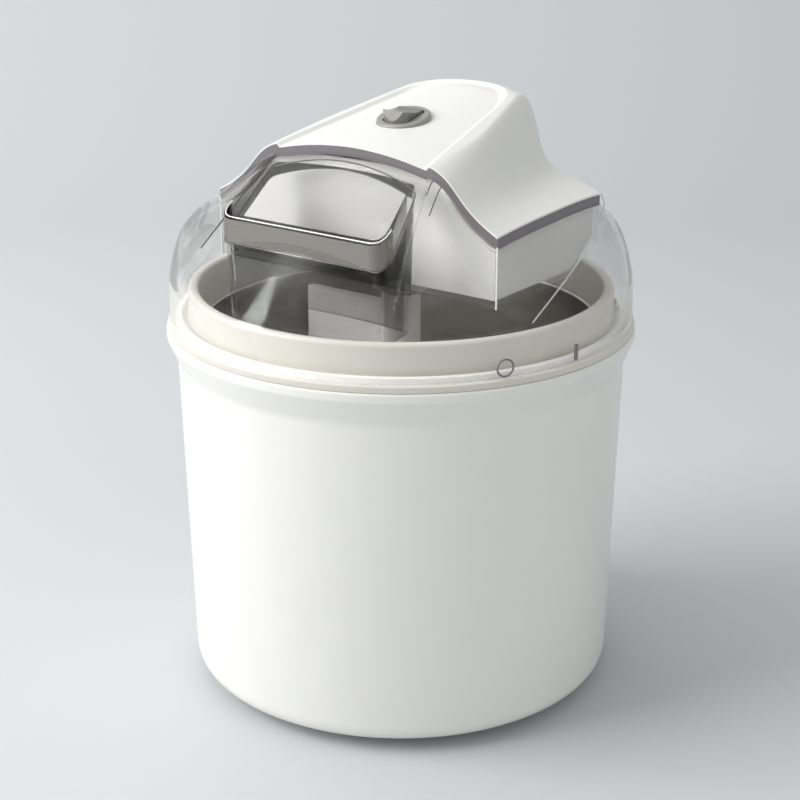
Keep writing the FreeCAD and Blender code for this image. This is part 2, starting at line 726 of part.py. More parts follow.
def make_lid():
    outside = lid_form("lid_outside", fixed(0))
    inside = lid_form("lid_inside", S.lid_wall)
    shell = cut("lid_shell", outside, inside)
    opened = cut("lid_opened", shell, cavity("pocket_outside", fixed(0)))
    walls = cut("pocket_walls", cavity("pocket_outside_again", fixed(0)), cavity("pocket_inside", S.pocket_wall))
    trimmed = common("pocket_trimmed", walls, outside)
    tube = cut("chute_tube", chute_prism("chute_outer", 0.0, float(S.chute_foot), 260.0),
               chute_prism("chute_inner", float(S.chute_wall), float(S.chute_foot) - 5, 265.0))
    tube_trimmed = common("chute_trimmed", tube, under_lip_plane("lip_plane"))
    cheeks = common("cheeks_trimmed", side_cheeks("cheeks"), outside)
    whole = fuse("lid_whole", opened, trimmed, tube_trimmed, cheeks, lock_marks("marks"))
    hole = chute_prism("chute_way", float(S.chute_wall), float(S.chute_foot) - 5, 265.0)
    neck_hole = cylinder("neck_hole", S.neck_radius + S.neck_gap, S.pocket_wall * 2,
                         (0, 0, S.pocket_floor - S.pocket_wall / 2))
    finished(cut("lid_solid", whole, hole, neck_hole), "clear_lid")

    banded = common("rim_banded", walls, band_form("band_limit", fixed(0)))
    finished(cut("rim_solid", banded, outside), "lid_rim")

    outer = cylinder("slip_outer", inner_lid_radius - S.running_gap, S.slip_height, (0, 0, flange_top))
    inner = cylinder("slip_inner", inner_lid_radius - S.slip_width, S.slip_height, (0, 0, flange_top))
    finished(cut("slip_solid", outer, inner), "lid_slip_ring")


# ---------------------------------------------------------------------------
# Where the gears stand
# ---------------------------------------------------------------------------
def wheel_radius(module, teeth):
    return float(module) * float(teeth) / 2


FIRST_LEVEL = (203.0, 4.0)
SECOND_LEVEL = (197.0, 4.5)
LAST_LEVEL = (190.6, 5.2)
motor_axis = Vector(0, float(S.motor_y), 0)
stage_distance = wheel_radius(S.fine_module, S.small_teeth) + wheel_radius(S.fine_module, S.large_teeth)
last_distance = wheel_radius(S.coarse_module, S.last_pinion_teeth) + wheel_radius(S.coarse_module, S.output_teeth)


def meeting_point(first, first_reach, second, second_reach):
    """The point on the right-hand side that lies at both reaches from two axes."""
    span = second - first
    along = (first_reach ** 2 - second_reach ** 2 + span.Length ** 2) / (2 * span.Length)
    across = math.sqrt(first_reach ** 2 - along ** 2)
    unit = span.normalize()
    return first + unit * along + Vector(unit.y, -unit.x, 0) * across


first_bearing = math.radians(-29.0)
first_axis = motor_axis + Vector(math.cos(first_bearing), math.sin(first_bearing), 0) * stage_distance
second_axis = meeting_point(Vector(0, 0, 0), last_distance, first_axis, stage_distance)


# ---------------------------------------------------------------------------
# Motor unit: tray and cover
# ---------------------------------------------------------------------------
tray_inset = S.pocket_wall + S.tray_gap
tray_floor = S.pocket_floor + tray_inset + S.tray_wall
BOSS_PLACES = [(58.0, -22.0), (-58.0, -22.0), (58.0, 14.0), (-58.0, 14.0)]
LEG_PLACES = [(-26.0, 19.5), (-24.0, -21.0), (46.0, -24.0), (49.5, 19.0)]


def make_tray():
    outer = cavity("tray_outer", tray_inset)
    inner = cavity("tray_inner", tray_inset + S.tray_wall)
    shell = cut("tray_shell", outer, inner)
    # the tray sits on the pocket's floor, so its underside is moved down by the gap
    seat = box("tray_seat", S.pod_half, S.pod_front, S.tray_gap,
               (-S.pod_half / 2, -S.pod_front / 2, S.pocket_floor + S.pocket_wall))
    lowered = float(S.cover_wall + S.deck_recess) + 0.3
    low = box("tray_height", S.pod_half * 2, S.pod_front + S.pod_back, S.tray_top - S.neck_foot,
              (-S.pod_half, -S.pod_front, S.neck_foot))
    trimmed = common("tray_trimmed", shell, bell("tray_limit", lowered), low)
    neck = cylinder("neck_outer", S.neck_radius, tray_floor - S.neck_foot + 1.2, (0, 0, S.neck_foot))
    whole = fuse("tray_whole", trimmed, neck, seat)
    bore = cylinder("neck_bore", S.bush_radius, tray_floor - S.neck_foot + 10.0, (0, 0, S.neck_foot + 3.0))
    mouth = cylinder("neck_mouth", S.bush_radius, fixed(10), (0, 0, S.neck_foot - 5))
    holes = [
        cylinder(f"tray_screw_hole_{n}", S.screw_radius, fixed(12), (x, y, S.pocket_floor))
        for n, (x, y) in enumerate(BOSS_PLACES + LEG_PLACES, start=1)
    ]
    sinks = [
        cylinder(f"tray_screw_sink_{n}", S.screw_head, S.pocket_wall + S.tray_gap + 1.2, (x, y, S.pocket_floor))
        for n, (x, y) in enumerate(BOSS_PLACES + LEG_PLACES, start=1)
    ]
    axle_seats = [
        cylinder(f"tray_axle_seat_{n}", S.axle_radius, fixed(2), (axis.x, axis.y, tray_floor - 1.0))
        for n, axis in enumerate((first_axis, second_axis), start=1)
    ]
    finished(cut("tray_solid", whole, bore, mouth, *holes, *sinks, *axle_seats), "motor_tray")


def deck_point():
    return Vector(0, float(S.switch_y), float(S.switch_seat_z))


deck_turn = Rotation(Vector(1, 0, 0), float(S.deck_tilt))


def on_deck(right, back, up):
    """A point given in the deck's own directions, from the middle of the switch seat."""
    return deck_point() + deck_turn.multVec(Vector(right, back, up))


def tilted_cylinder(name, radius, height, up):
    """A cylinder square to the deck, under the switch's middle."""
    spot = on_deck(0, 0, up)
    return cylinder(name, radius, height, (spot.x, spot.y, spot.z), deck_turn)


def make_cover():
    low = float(tray_floor) + 5.0
    skin = bell("bell_outer", 0.0)
    outer = common("cover_outer", skin, footprint("cover_plan", fixed(0), low))
    inner = common("cover_inner", bell("bell_inner", float(S.cover_wall)),
                   footprint("cover_plan_inner", S.cover_wall, low - 10.0))
    # the cover's inside steps down under the recessed deck, so that the wall stays as thick there
    lining = shape_feature("deck_lining", deck_column(-float(S.cover_wall)).cut(
        under_deck(float(S.cover_wall + S.deck_recess))))
    hollow = cut("cover_hollow", inner, lining)
    shell = cut("cover_shell", outer, hollow)
    rim = cut("cover_rim", footprint("rim_outside", fixed(-1)), footprint("rim_inside", tray_inset))
    rim_cut = common("rim_cut", rim, band_form("rim_form", S.rim_gap))
    bosses = [
        cylinder(f"cover_boss_{n}", S.screw_radius + 2.2, fixed(40), (x, y, tray_floor))
        for n, (x, y) in enumerate(BOSS_PLACES, start=1)
    ]
    posts = common("cover_posts", fuse("cover_boss_set", *bosses), skin)
    whole = fuse("cover_whole", cut("cover_trimmed", shell, rim_cut), posts)
    recess = shape_feature("deck_recess_space", deck_column(0.0).cut(under_deck(float(S.deck_recess))))
    seat = tilted_cylinder("switch_spot", S.bezel_radius + 0.2, fixed(12), 0)
    hole = tilted_cylinder("switch_hole", S.barrel_radius, fixed(30), -20)
    pilots = [
        cylinder(f"cover_pilot_{n}", S.screw_radius, fixed(14), (x, y, tray_floor - 1.0))
        for n, (x, y) in enumerate(BOSS_PLACES, start=1)
    ]
    grommet_hole = cylinder("grommet_hole", S.grommet_radius - 1.5, fixed(20),
                            (fixed(0), S.pod_back - 10, S.grommet_z), Rotation(Vector(1, 0, 0), -90))
    finished(cut("cover_solid", whole, recess, seat, hole, *pilots, grommet_hole), "motor_cover")


# ---------------------------------------------------------------------------
# Gears
# ---------------------------------------------------------------------------
def bearing_of(start, end):
    return math.degrees(math.atan2(end.y - start.y, end.x - start.x))


def gear(module, teeth, centre, level, tooth_at=None, gap_at=None):
    """A spur gear with straight-flanked teeth, one tooth or one gap at the given bearing."""
    module, teeth = float(module), int(float(teeth))
    low, thick = level
    tip = module * (teeth / 2 + 0.85)
    root = module * (teeth / 2 - 1.15)
    pitch = 360.0 / teeth
    start = tooth_at if tooth_at is not None else gap_at + pitch / 2
    points = []
    for tooth in range(teeth):
        middle = start + tooth * pitch
        for radius, share in ((root, -0.30), (tip, -0.11), (tip, 0.11), (root, 0.30)):
            angle = math.radians(middle + share * pitch)
            points.append(centre + Vector(radius * math.cos(angle), radius * math.sin(angle), low))
    return Part.Face(Part.makePolygon(points + points[:1])).extrude(Vector(0, 0, thick))


def bored(solid, centre, radius):
    return solid.cut(Part.makeCylinder(radius, 60, Vector(centre.x, centre.y, 170)))


def make_gears():
    motor_hole = float(S.motor_shaft_radius)
    pinion = gear(S.fine_module, S.small_teeth, motor_axis, FIRST_LEVEL, tooth_at=bearing_of(motor_axis, first_axis))
    finished(shape_feature("pinion_shape", bored(pinion, motor_axis, motor_hole)), "motor_pinion")

    run = float(S.axle_radius) + float(S.running_gap)
    wheel = gear(S.fine_module, S.large_teeth, first_axis, FIRST_LEVEL, gap_at=bearing_of(first_axis, motor_axis))
    small = gear(S.fine_module, S.small_teeth, first_axis,
                 (SECOND_LEVEL[0], FIRST_LEVEL[0] - SECOND_LEVEL[0]), tooth_at=bearing_of(first_axis, second_axis))
    finished(shape_feature("first_gear_shape", bored(wheel.fuse(small), first_axis, run)), "first_gear")

    wheel = gear(S.fine_module, S.large_teeth, second_axis, SECOND_LEVEL, gap_at=bearing_of(second_axis, first_axis))
    small = gear(S.coarse_module, S.last_pinion_teeth, second_axis,
                 (LAST_LEVEL[0], SECOND_LEVEL[0] - LAST_LEVEL[0]),
                 tooth_at=bearing_of(second_axis, Vector(0, 0, 0)))
    finished(shape_feature("second_gear_shape", bored(wheel.fuse(small), second_axis, run)), "second_gear")

    origin = Vector(0, 0, 0)
    wheel = gear(S.coarse_module, S.output_teeth, origin, LAST_LEVEL, gap_at=bearing_of(origin, second_axis))
    finished(shape_feature("output_gear_shape", bored(wheel, origin, float(S.shaft_radius))), "output_gear")


def make_gear_mounting():
    plate_low = S.motor_seat - S.plate_thickness
    for label, axis in (("first_axle", first_axis), ("second_axle", second_axis)):
        pin = cylinder(label + "_pin", S.axle_radius, S.motor_seat - tray_floor + 1.0,
                       (axis.x, axis.y, tray_floor - 1.0))
        finished(pin, label)

    corners = [Vector(-31, -26, 0), Vector(52, -28, 0), Vector(53, 23, 0), Vector(22, 50, 0), Vector(-22, 50, 0),
               Vector(-32, 25, 0)]
    sheet_metal = Part.Face(Part.makePolygon(corners + corners[:1])).extrude(Vector(0, 0, float(S.plate_thickness)))
    sheet_metal.translate(Vector(0, 0, float(plate_low)))
    plate = shape_feature("plate_blank", sheet_metal)
    legs = [
        cylinder(f"plate_leg_{n}", S.leg_radius, plate_low - tray_floor, (x, y, tray_floor))
        for n, (x, y) in enumerate(LEG_PLACES, start=1)
    ]
    pilots = [
        cylinder(f"leg_pilot_{n}", S.screw_radius, fixed(9), (x, y, tray_floor))
        for n, (x, y) in enumerate(LEG_PLACES, start=1)
    ]
    axle_holes = [
        cylinder(f"plate_axle_hole_{n}", S.axle_radius, S.plate_thickness, (a.x, a.y, plate_low))
        for n, a in enumerate((first_axis, second_axis), start=1)
    ]
    boss_hole = cylinder("plate_motor_hole", fixed(5), S.plate_thickness, (0, S.motor_y, plate_low))
    screw_holes = [
        cylinder(f"plate_motor_screw_{tag}", S.screw_radius, S.plate_thickness, (x, S.motor_y, plate_low))
        for tag, x in (("right", 10.0), ("left", -10.0))
    ]
    whole = fuse("plate_whole", plate, *legs)
    finished(cut("plate_solid", whole, boss_hole, *pilots, *axle_holes, *screw_holes), "gear_plate")


def screw(name, x, y, head_low, head_height, tip_z, head_on_top=False):
    head_radius = S.screw_head - 0.2
    head = cylinder(name + "_head", head_radius, fixed(head_height), (x, y, head_low))
    low = float(head_low) + head_height if not head_on_top else float(tip_z)
    high = float(tip_z) if not head_on_top else float(head_low)
    shank = cylinder(name + "_shank", S.screw_radius, fixed(high - low), (x, y, low))
    return fuse(name, head, shank)


def make_screws():
    sink_top = float(S.pocket_floor + S.pocket_wall + S.tray_gap) + 1.2
    head = 1.3
    cover = [
        screw(f"cover_screw_{n}", x, y, sink_top - head, head, float(tray_floor) + 12)
        for n, (x, y) in enumerate(BOSS_PLACES, start=1)
    ]
    finished(group("cover_screw_set", *cover), "cover_screws")
    legs = [
        screw(f"leg_screw_{n}", x, y, sink_top - head, head, float(tray_floor) + 8)
        for n, (x, y) in enumerate(LEG_PLACES, start=1)
    ]
    finished(group("leg_screw_set", *legs), "gear_plate_screws")
    under = float(S.motor_seat - S.plate_thickness)
    motor = []
    for tag, x in (("right", 10.0), ("left", -10.0)):
        head_part = cylinder(f"motor_screw_head_{tag}", S.screw_head - 0.4, fixed(0.8), (x, S.motor_y, under - 0.8))
        shank = cylinder(f"motor_screw_shank_{tag}", S.screw_radius, fixed(5.0), (x, S.motor_y, under))
        motor.append(fuse(f"motor_screw_{tag}", head_part, shank))
    finished(group("motor_screw_set", *motor), "motor_screws")


# ---------------------------------------------------------------------------
# Motor and drive shaft
# ---------------------------------------------------------------------------
def make_motor():
    seat = S.motor_seat
    can = cylinder("can_outer", S.motor_radius, S.motor_length, (0, S.motor_y, seat))
    nose = cylinder("can_nose", fixed(5), S.plate_thickness, (0, S.motor_y, seat - S.plate_thickness))
    bore = cylinder("can_bore", S.motor_radius - 1.5, S.motor_length, (0, S.motor_y, seat + 1.5))
    nose_hole = cylinder("can_nose_hole", S.motor_shaft_radius + S.running_gap, fixed(20), (0, S.motor_y, seat - 10))
    threads = [
        cylinder(f"can_thread_{tag}", S.screw_radius, fixed(5), (x, S.motor_y, seat))
        for tag, x in (("right", 10.0), ("left", -10.0))
    ]
    finished(cut("can_solid", fuse("can_whole", can, nose), bore, nose_hole, *threads), "motor_can")

    cap_low = seat + S.motor_length
    cap = cylinder("cap_disc", S.motor_radius, fixed(3), (0, S.motor_y, cap_low))
    hub = cylinder("cap_hub", fixed(4), fixed(2.2), (0, S.motor_y, cap_low + 3))
    well = cylinder("cap_well", S.motor_shaft_radius + S.running_gap, fixed(4), (0, S.motor_y, cap_low - 0.5))
    finished(cut("cap_solid", fuse("cap_whole", cap, hub), well), "motor_end_cap")

    tabs = [
        box(f"motor_tab_{tag}", 3.0, 0.8, 2.2, (x - 1.5, S.motor_y - 12.0, cap_low + 3))
        for tag, x in (("right", 6.0), ("left", -6.0))
    ]
    finished(group("motor_tab_set", *tabs), "motor_terminals")

    spindle = cylinder("spindle", S.motor_shaft_radius, cap_low - FIRST_LEVEL[0] + 3.0,
                       (fixed(0), S.motor_y, fixed(FIRST_LEVEL[0])))
    core = cylinder("rotor_core", S.motor_radius - 4.5, S.motor_length - 12.0, (0, S.motor_y, seat + 7.5))
    drum = cylinder("commutator", fixed(4), fixed(3), (0, S.motor_y, cap_low - 4.0))
    finished(fuse("rotor_solid", spindle, core, drum), "motor_rotor")


def make_drive():
    square_top = float(S.neck_foot) - 1.0
    shaft = cylinder("shaft_round", S.shaft_radius, S.shaft_top - square_top, (0, 0, square_top))
    square = box("shaft_square", S.square_size, S.square_size, square_top - S.shaft_foot.value,
                 (-S.square_size / 2, -S.square_size / 2, S.shaft_foot))
    groove_low = LAST_LEVEL[0] + LAST_LEVEL[1]
    whole = fuse("shaft_whole", shaft, square)
    outer = cylinder("groove_outer", S.shaft_radius + 1, fixed(1.0), (0, 0, groove_low))
    inner = cylinder("groove_inner", S.shaft_radius - 0.6, fixed(1.0), (0, 0, groove_low))
    groove = cut("shaft_groove", outer, inner)
    finished(cut("shaft_solid", whole, groove), "drive_shaft")

    ring_outer = cylinder("clip_outer", S.shaft_radius + 2.2, fixed(1.0), (0, 0, groove_low))
    ring_inner = cylinder("clip_inner", S.shaft_radius - 0.6, fixed(1.0), (0, 0, groove_low))
    mouth = box("clip_mouth", fixed(6), fixed(4.4), fixed(1.0), (fixed(1), fixed(-2.2), fixed(groove_low)))
    finished(cut("clip_solid", ring_outer, ring_inner, mouth), "shaft_clip")

    bush_low = S.neck_foot + 3.0
    bush_high = fixed(LAST_LEVEL[0] - 0.1)
    bush = cylinder("bush_outer", S.bush_radius, bush_high - bush_low, (0, 0, bush_low))
    bush_bore = cylinder("bush_bore", S.shaft_radius + S.running_gap, fixed(40), (0, 0, S.neck_foot))
    finished(cut("bush_solid", bush, bush_bore), "shaft_bush")

    seal = cylinder("seal_outer", S.bush_radius, fixed(3.0), (0, 0, S.neck_foot))
    seal_bore = cylinder("seal_bore", S.shaft_radius + S.running_gap, fixed(10), (0, 0, S.neck_foot - 2))
    finished(cut("seal_solid", seal, seal_bore), "shaft_seal")


# ---------------------------------------------------------------------------
# Switch and grommet
# ---------------------------------------------------------------------------
def rocker_outline(half):
    """The rocker seen from its side: a raised nose, a saddle, a low tail and a round belly."""
    radius = float(S.rocker_radius)
    rim = 2.6
    reach = math.sqrt(radius ** 2 - rim ** 2)
    top = [Vector(half, -reach, rim), Vector(half, -6.4, 6.3), Vector(half, -3.4, 5.2), Vector(half, 1.5, 3.3),
           Vector(half, 5.6, 3.2), Vector(half, reach, rim)]
    nose = Part.makePolygon(top[:2])
    saddle = Part.BSplineCurve()
    saddle.interpolate(top[1:5])
    tail = Part.makePolygon(top[4:])
    belly = Part.Arc(top[5], Vector(half, 0, -radius), top[0]).toShape()
    return Part.Wire([*nose.Edges, saddle.toShape(), *tail.Edges, belly])


def make_switch():
    half = float(S.rocker_half)
    gap = float(S.rocker_gap)
    pin = 1.2
    barrel_depth = float(S.barrel_depth)
    opening = float(S.rocker_radius) + gap
    bezel = Part.makeCylinder(float(S.bezel_radius), float(S.bezel_height))
    ring_edge = [e for e in bezel.Edges if isinstance(e.Curve, Part.Circle) and e.Curve.Center.z > 1]
    bezel = bezel.makeFillet(1.0, ring_edge)
    barrel = Part.makeCylinder(float(S.barrel_radius), barrel_depth, Vector(0, 0, -barrel_depth))
    well = Part.makeCylinder(opening, 30, Vector(0, 0, -opening - 1.5))
    well = well.common(Part.makeBox(2 * (half + gap), 40, 40, Vector(-half - gap, -20, -20)))
    pivots = Part.makeCylinder(pin + float(S.running_gap), 2 * half + 4.2, Vector(-half - 2.1, 0, 0), Vector(1, 0, 0))
    body = bezel.fuse(barrel).cut(well).cut(pivots)
    body.Placement = Placement(deck_point(), deck_turn)
    finished(shape_feature("bezel_shape", body), "switch_bezel")

    # a ball-shaped belly turns in the round opening, and only the nose stands out of it
    rocker = Part.Face(rocker_outline(-half)).extrude(Vector(2 * half, 0, 0))
    ball = Part.makeSphere(float(S.rocker_radius))
    column = Part.makeCylinder(float(S.rocker_radius) - 0.4, 20, Vector(0, 0, 1.0))
    rocker = rocker.common(ball.fuse(column))
    rocker = rocker.fuse(Part.makeCylinder(pin, 2 * half + 3.6, Vector(-half - 1.8, 0, 0), Vector(1, 0, 0)))
    rocker.Placement = Placement(deck_point(), deck_turn)
    finished(shape_feature("rocker_shape", rocker), "switch_rocker")

    tabs = []
    for back in (-5.0, 5.0):
        tab = Part.makeBox(4.8, 0.8, 6.0, Vector(-2.4, back - 0.4, -barrel_depth - 6.0))
        tab.Placement = Placement(deck_point(), deck_turn)
        tabs.append(tab)
    finished(shape_feature("switch_tab_shape", Part.makeCompound(tabs)), "switch_terminals")


def make_grommet():
    back = Rotation(Vector(1, 0, 0), -90)
    hole = S.grommet_radius - 1.5
    stem = cylinder("grommet_stem", hole, S.cover_wall + 0.4,
                    (fixed(0), S.pod_back - S.cover_wall - 0.4, S.grommet_z), back)
    outer = cylinder("grommet_outer", S.grommet_radius, fixed(1.6), (fixed(0), S.pod_back, S.grommet_z), back)
    inner = cylinder("grommet_inner", S.grommet_radius, fixed(1.4),
                     (fixed(0), S.pod_back - S.cover_wall - 1.6, S.grommet_z), back)
    bore = cylinder("grommet_bore", fixed(2.6), fixed(20), (fixed(0), S.pod_back - 10, S.grommet_z), back)
    finished(cut("grommet_solid", fuse("grommet_whole", stem, outer, inner), bore), "cord_grommet")


# ---------------------------------------------------------------------------
# Paddle
# ---------------------------------------------------------------------------
def make_paddle():
    foot = S.bowl_floor_height + S.vane_floor_gap
    thick = S.vane_thickness
    hub = cylinder("hub_outer", S.hub_radius, S.hub_top - foot, (0, 0, foot))
    upper = box("vane_upper", S.upper_vane_reach, thick, S.upper_vane_top - S.lower_vane_top + 10.0,
                (-S.upper_vane_reach, -thick / 2, S.lower_vane_top - 10.0))
    left = box("vane_left", S.lower_vane_reach, thick, S.lower_vane_top - foot, (-S.lower_vane_reach, -thick / 2, foot))
    right = box("vane_right", S.lower_vane_reach, thick, S.lower_vane_top - foot, (fixed(0), -thick / 2, foot))
    whole = fuse("paddle_whole", hub, upper, left, right)
    windows = []
    for tag, sign in (("right", 1), ("left", -1)):
        start = S.hub_radius + 9.0 if sign > 0 else -(S.lower_vane_reach - 12.0)
        for level, low in enumerate((fixed(12), fixed(50))):
            windows.append(box(f"window_{tag}_{level}", S.lower_vane_reach - S.hub_radius - 21.0, thick * 2,
                               fixed(26), (start, -thick, foot + low)))
    # rounded heels that follow the bowl's floor rounding
    heel = S.lower_vane_reach - S.bowl_floor_round * 0.7
    corners = [
        box("heel_right", fixed(20), thick * 2, fixed(20), (heel, -thick, foot - 13.0), Rotation(Vector(0, 1, 0), 45)),
        box("heel_left", fixed(20), thick * 2, fixed(20), (-heel - 14.14 * 2, -thick, foot - 13.0),
            Rotation(Vector(0, 1, 0), 45)),
    ]
    socket = box("paddle_socket", S.square_size + S.square_gap * 2, S.square_size + S.square_gap * 2,
                 S.hub_top - S.shaft_foot + 3.0,
                 (-(S.square_size / 2 + S.square_gap), -(S.square_size / 2 + S.square_gap), S.shaft_foot - 2.0))
    pivot_hole = cylinder("paddle_pivot_hole", S.pivot_radius + S.running_gap, S.pivot_height,
                          (0, 0, S.bowl_floor_height + 1.0))
    finished(cut("paddle_solid", whole, *windows, *corners[:1], socket, pivot_hole), "paddle")


# ---------------------------------------------------------------------------
# Build, check and write
# ---------------------------------------------------------------------------
def check_document():
    faulty = [o.Label for o in doc.Objects if "Invalid" in o.State or "Error" in o.State]
    if faulty:
        raise RuntimeError(f"features in error: {faulty}")
    for part in PARTS:
        if part.Shape.isNull() or not part.Shape.isValid() or not part.Shape.Solids:
            raise RuntimeError(f"{part.Label} has no valid solid")


def write_parts():
    os.makedirs("parts", exist_ok=True)
    for part in PARTS:
        part.Shape.exportStep(os.path.join("parts", part.Label + ".step"))
        print(f"{part.Label:20} solids {len(part.Shape.Solids)} volume {part.Shape.Volume / 1000:8.2f} cm3")


for make in (make_housing, make_feet, make_bowl, make_lid, make_tray, make_cover, make_gears, make_gear_mounting,
             make_screws, make_motor, make_drive, make_switch, make_grommet, make_paddle):
    make()
doc.recompute()
check_document()
write_parts()
print("first axis", first_axis, "second axis", second_axis)
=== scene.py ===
# %% [markdown]
# # An ice cream maker
# The machine is a white bucket with a freezer bowl inside, a clear domed lid with a fill chute,
# and a motor unit that sits in a pocket of the lid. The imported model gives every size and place,
# so we load it first and measure it before making anything.

# %% Load the frame
import json
import math

import bmesh
import bpy
import numpy as np
from mathutils import Matrix, Vector


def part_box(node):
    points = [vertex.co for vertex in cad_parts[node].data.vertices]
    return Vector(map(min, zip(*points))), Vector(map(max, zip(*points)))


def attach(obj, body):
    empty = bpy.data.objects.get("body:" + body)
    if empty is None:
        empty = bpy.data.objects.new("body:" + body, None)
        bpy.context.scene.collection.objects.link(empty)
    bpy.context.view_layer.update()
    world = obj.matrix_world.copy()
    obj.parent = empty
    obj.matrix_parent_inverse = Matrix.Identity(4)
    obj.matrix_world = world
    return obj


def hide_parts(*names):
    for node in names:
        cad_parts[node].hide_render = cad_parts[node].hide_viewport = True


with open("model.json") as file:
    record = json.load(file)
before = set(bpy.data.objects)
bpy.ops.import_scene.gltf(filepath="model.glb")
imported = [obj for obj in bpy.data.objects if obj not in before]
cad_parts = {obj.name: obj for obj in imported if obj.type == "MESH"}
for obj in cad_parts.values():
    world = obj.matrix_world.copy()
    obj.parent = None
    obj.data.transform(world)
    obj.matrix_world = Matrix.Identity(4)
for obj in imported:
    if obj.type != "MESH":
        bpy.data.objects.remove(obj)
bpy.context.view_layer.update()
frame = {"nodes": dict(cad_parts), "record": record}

# %% [markdown]
# Working in metres makes small features hard to read, so every shape below is written in
# millimetres and turned into metres by one helper. The heights that several pieces share are
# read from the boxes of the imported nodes.

# %% Millimetres and shared heights
MM = 0.001


def top_of(node):
    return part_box(node)[1].z / MM


def foot_of(node):
    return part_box(node)[0].z / MM


def reach_of(node):
    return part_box(node)[1].x / MM


RIM_RADIUS = reach_of("outer_housing")
RIM_TOP = top_of("outer_housing")
LID_RADIUS = 98.5
LID_FOOT = foot_of("clear_lid")
DOME_FOOT = LID_FOOT + 9.5
COLLAR_TOP = top_of("bowl_collar")
POD_HALF = reach_of("motor_cover")
POD_FRONT = -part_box("motor_cover")[0].y / MM
POD_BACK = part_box("motor_cover")[1].y / MM
print(f"rim {RIM_RADIUS:.1f} at {RIM_TOP:.1f}, lid from {LID_FOOT:.1f}, motor unit {POD_HALF:.1f} half wide")


# %% [markdown]
# Round pieces such as the bucket are lathed. A list of (radius, height) corners is rounded with
# true arcs and then turned about the vertical axis. Building the rings ourselves, instead of with a
# Screw modifier, keeps the profile as readable numbers and gives evenly spaced, smooth faces.

# %% Lathe helper
def link(name, mesh, material=None, smooth=True):
    """Put a mesh into the scene as a new object."""
    piece = bpy.data.objects.new(name, mesh)
    bpy.context.scene.collection.objects.link(piece)
    if smooth:
        mesh.shade_smooth()
    if material:
        mesh.materials.append(material)
    return piece


def rounded(corners, steps=6):
    """Replace each (x, y, radius) corner by an arc of that radius."""
    points = []
    count = len(corners)
    for i, (x, y, radius) in enumerate(corners):
        here = Vector((x, y))
        if radius <= 0:
            points.append(here)
            continue
        before = Vector(corners[i - 1][:2]) - here
        after = Vector(corners[(i + 1) % count][:2]) - here
        turn = before.angle(after)
        back = min(radius / math.tan(turn / 2), before.length * 0.49, after.length * 0.49)
        start, end = here + before.normalized() * back, here + after.normalized() * back
        for k in range(steps + 1):
            share = k / steps
            points.append(start.lerp(here, share).lerp(here.lerp(end, share), share))
    return points


def lathe(name, corners, segments=256, steps=6):
    """Turn a closed (radius, height, rounding) profile about the vertical axis."""
    profile = rounded(corners, steps=steps)
    mesh = bpy.data.meshes.new(name)
    form = bmesh.new()
    rings = []
    for p in profile:
        if p.x < 1e-6:
            rings.append([form.verts.new((0, 0, p.y * MM))])
            continue
        rings.append([
            form.verts.new((p.x * MM * math.cos(a), p.x * MM * math.sin(a), p.y * MM))
            for a in (2 * math.pi * k / segments for k in range(segments))
        ])
    for lower, upper in zip(rings, rings[1:] + rings[:1]):
        if len(lower) == 1 and len(upper) == 1:
            continue
        for k in range(segments):
            n = (k + 1) % segments
            loop = [lower[k % len(lower)], lower[n % len(lower)],
                    upper[n % len(upper)], upper[k % len(upper)]]
            form.faces.new(list(dict.fromkeys(loop)))
    bmesh.ops.recalc_face_normals(form, faces=form.faces)
    form.to_mesh(mesh)
    form.free()
    piece = link(name, mesh)
    print(f"{name}: {len(mesh.polygons)} faces")
    return piece


def soften(piece, angle=30):
    """Keep creases sharper than the angle as hard edges."""
    piece.data.set_sharp_from_angle(angle=math.radians(angle))
    return piece


# %% [markdown]
# ## Finishes
# Moulded plastic is never perfectly even. A shared node group adds a very faint variation of
# roughness and colour, and another one draws the fine rings that a polishing lathe leaves on
# spun aluminium. Both put out values that change over the surface; the shader itself stays in
# each material.

# %% Node group: moulded variation
def new_group(name, inputs, outputs):
    group = bpy.data.node_groups.new(name, "ShaderNodeTree")
    for label, kind, value in inputs:
        socket = group.interface.new_socket(name=label, in_out="INPUT", socket_type=kind)
        socket.default_value = value
    for label, kind in outputs:
        group.interface.new_socket(name=label, in_out="OUTPUT", socket_type=kind)
    return group, group.nodes.new("NodeGroupInput"), group.nodes.new("NodeGroupOutput")


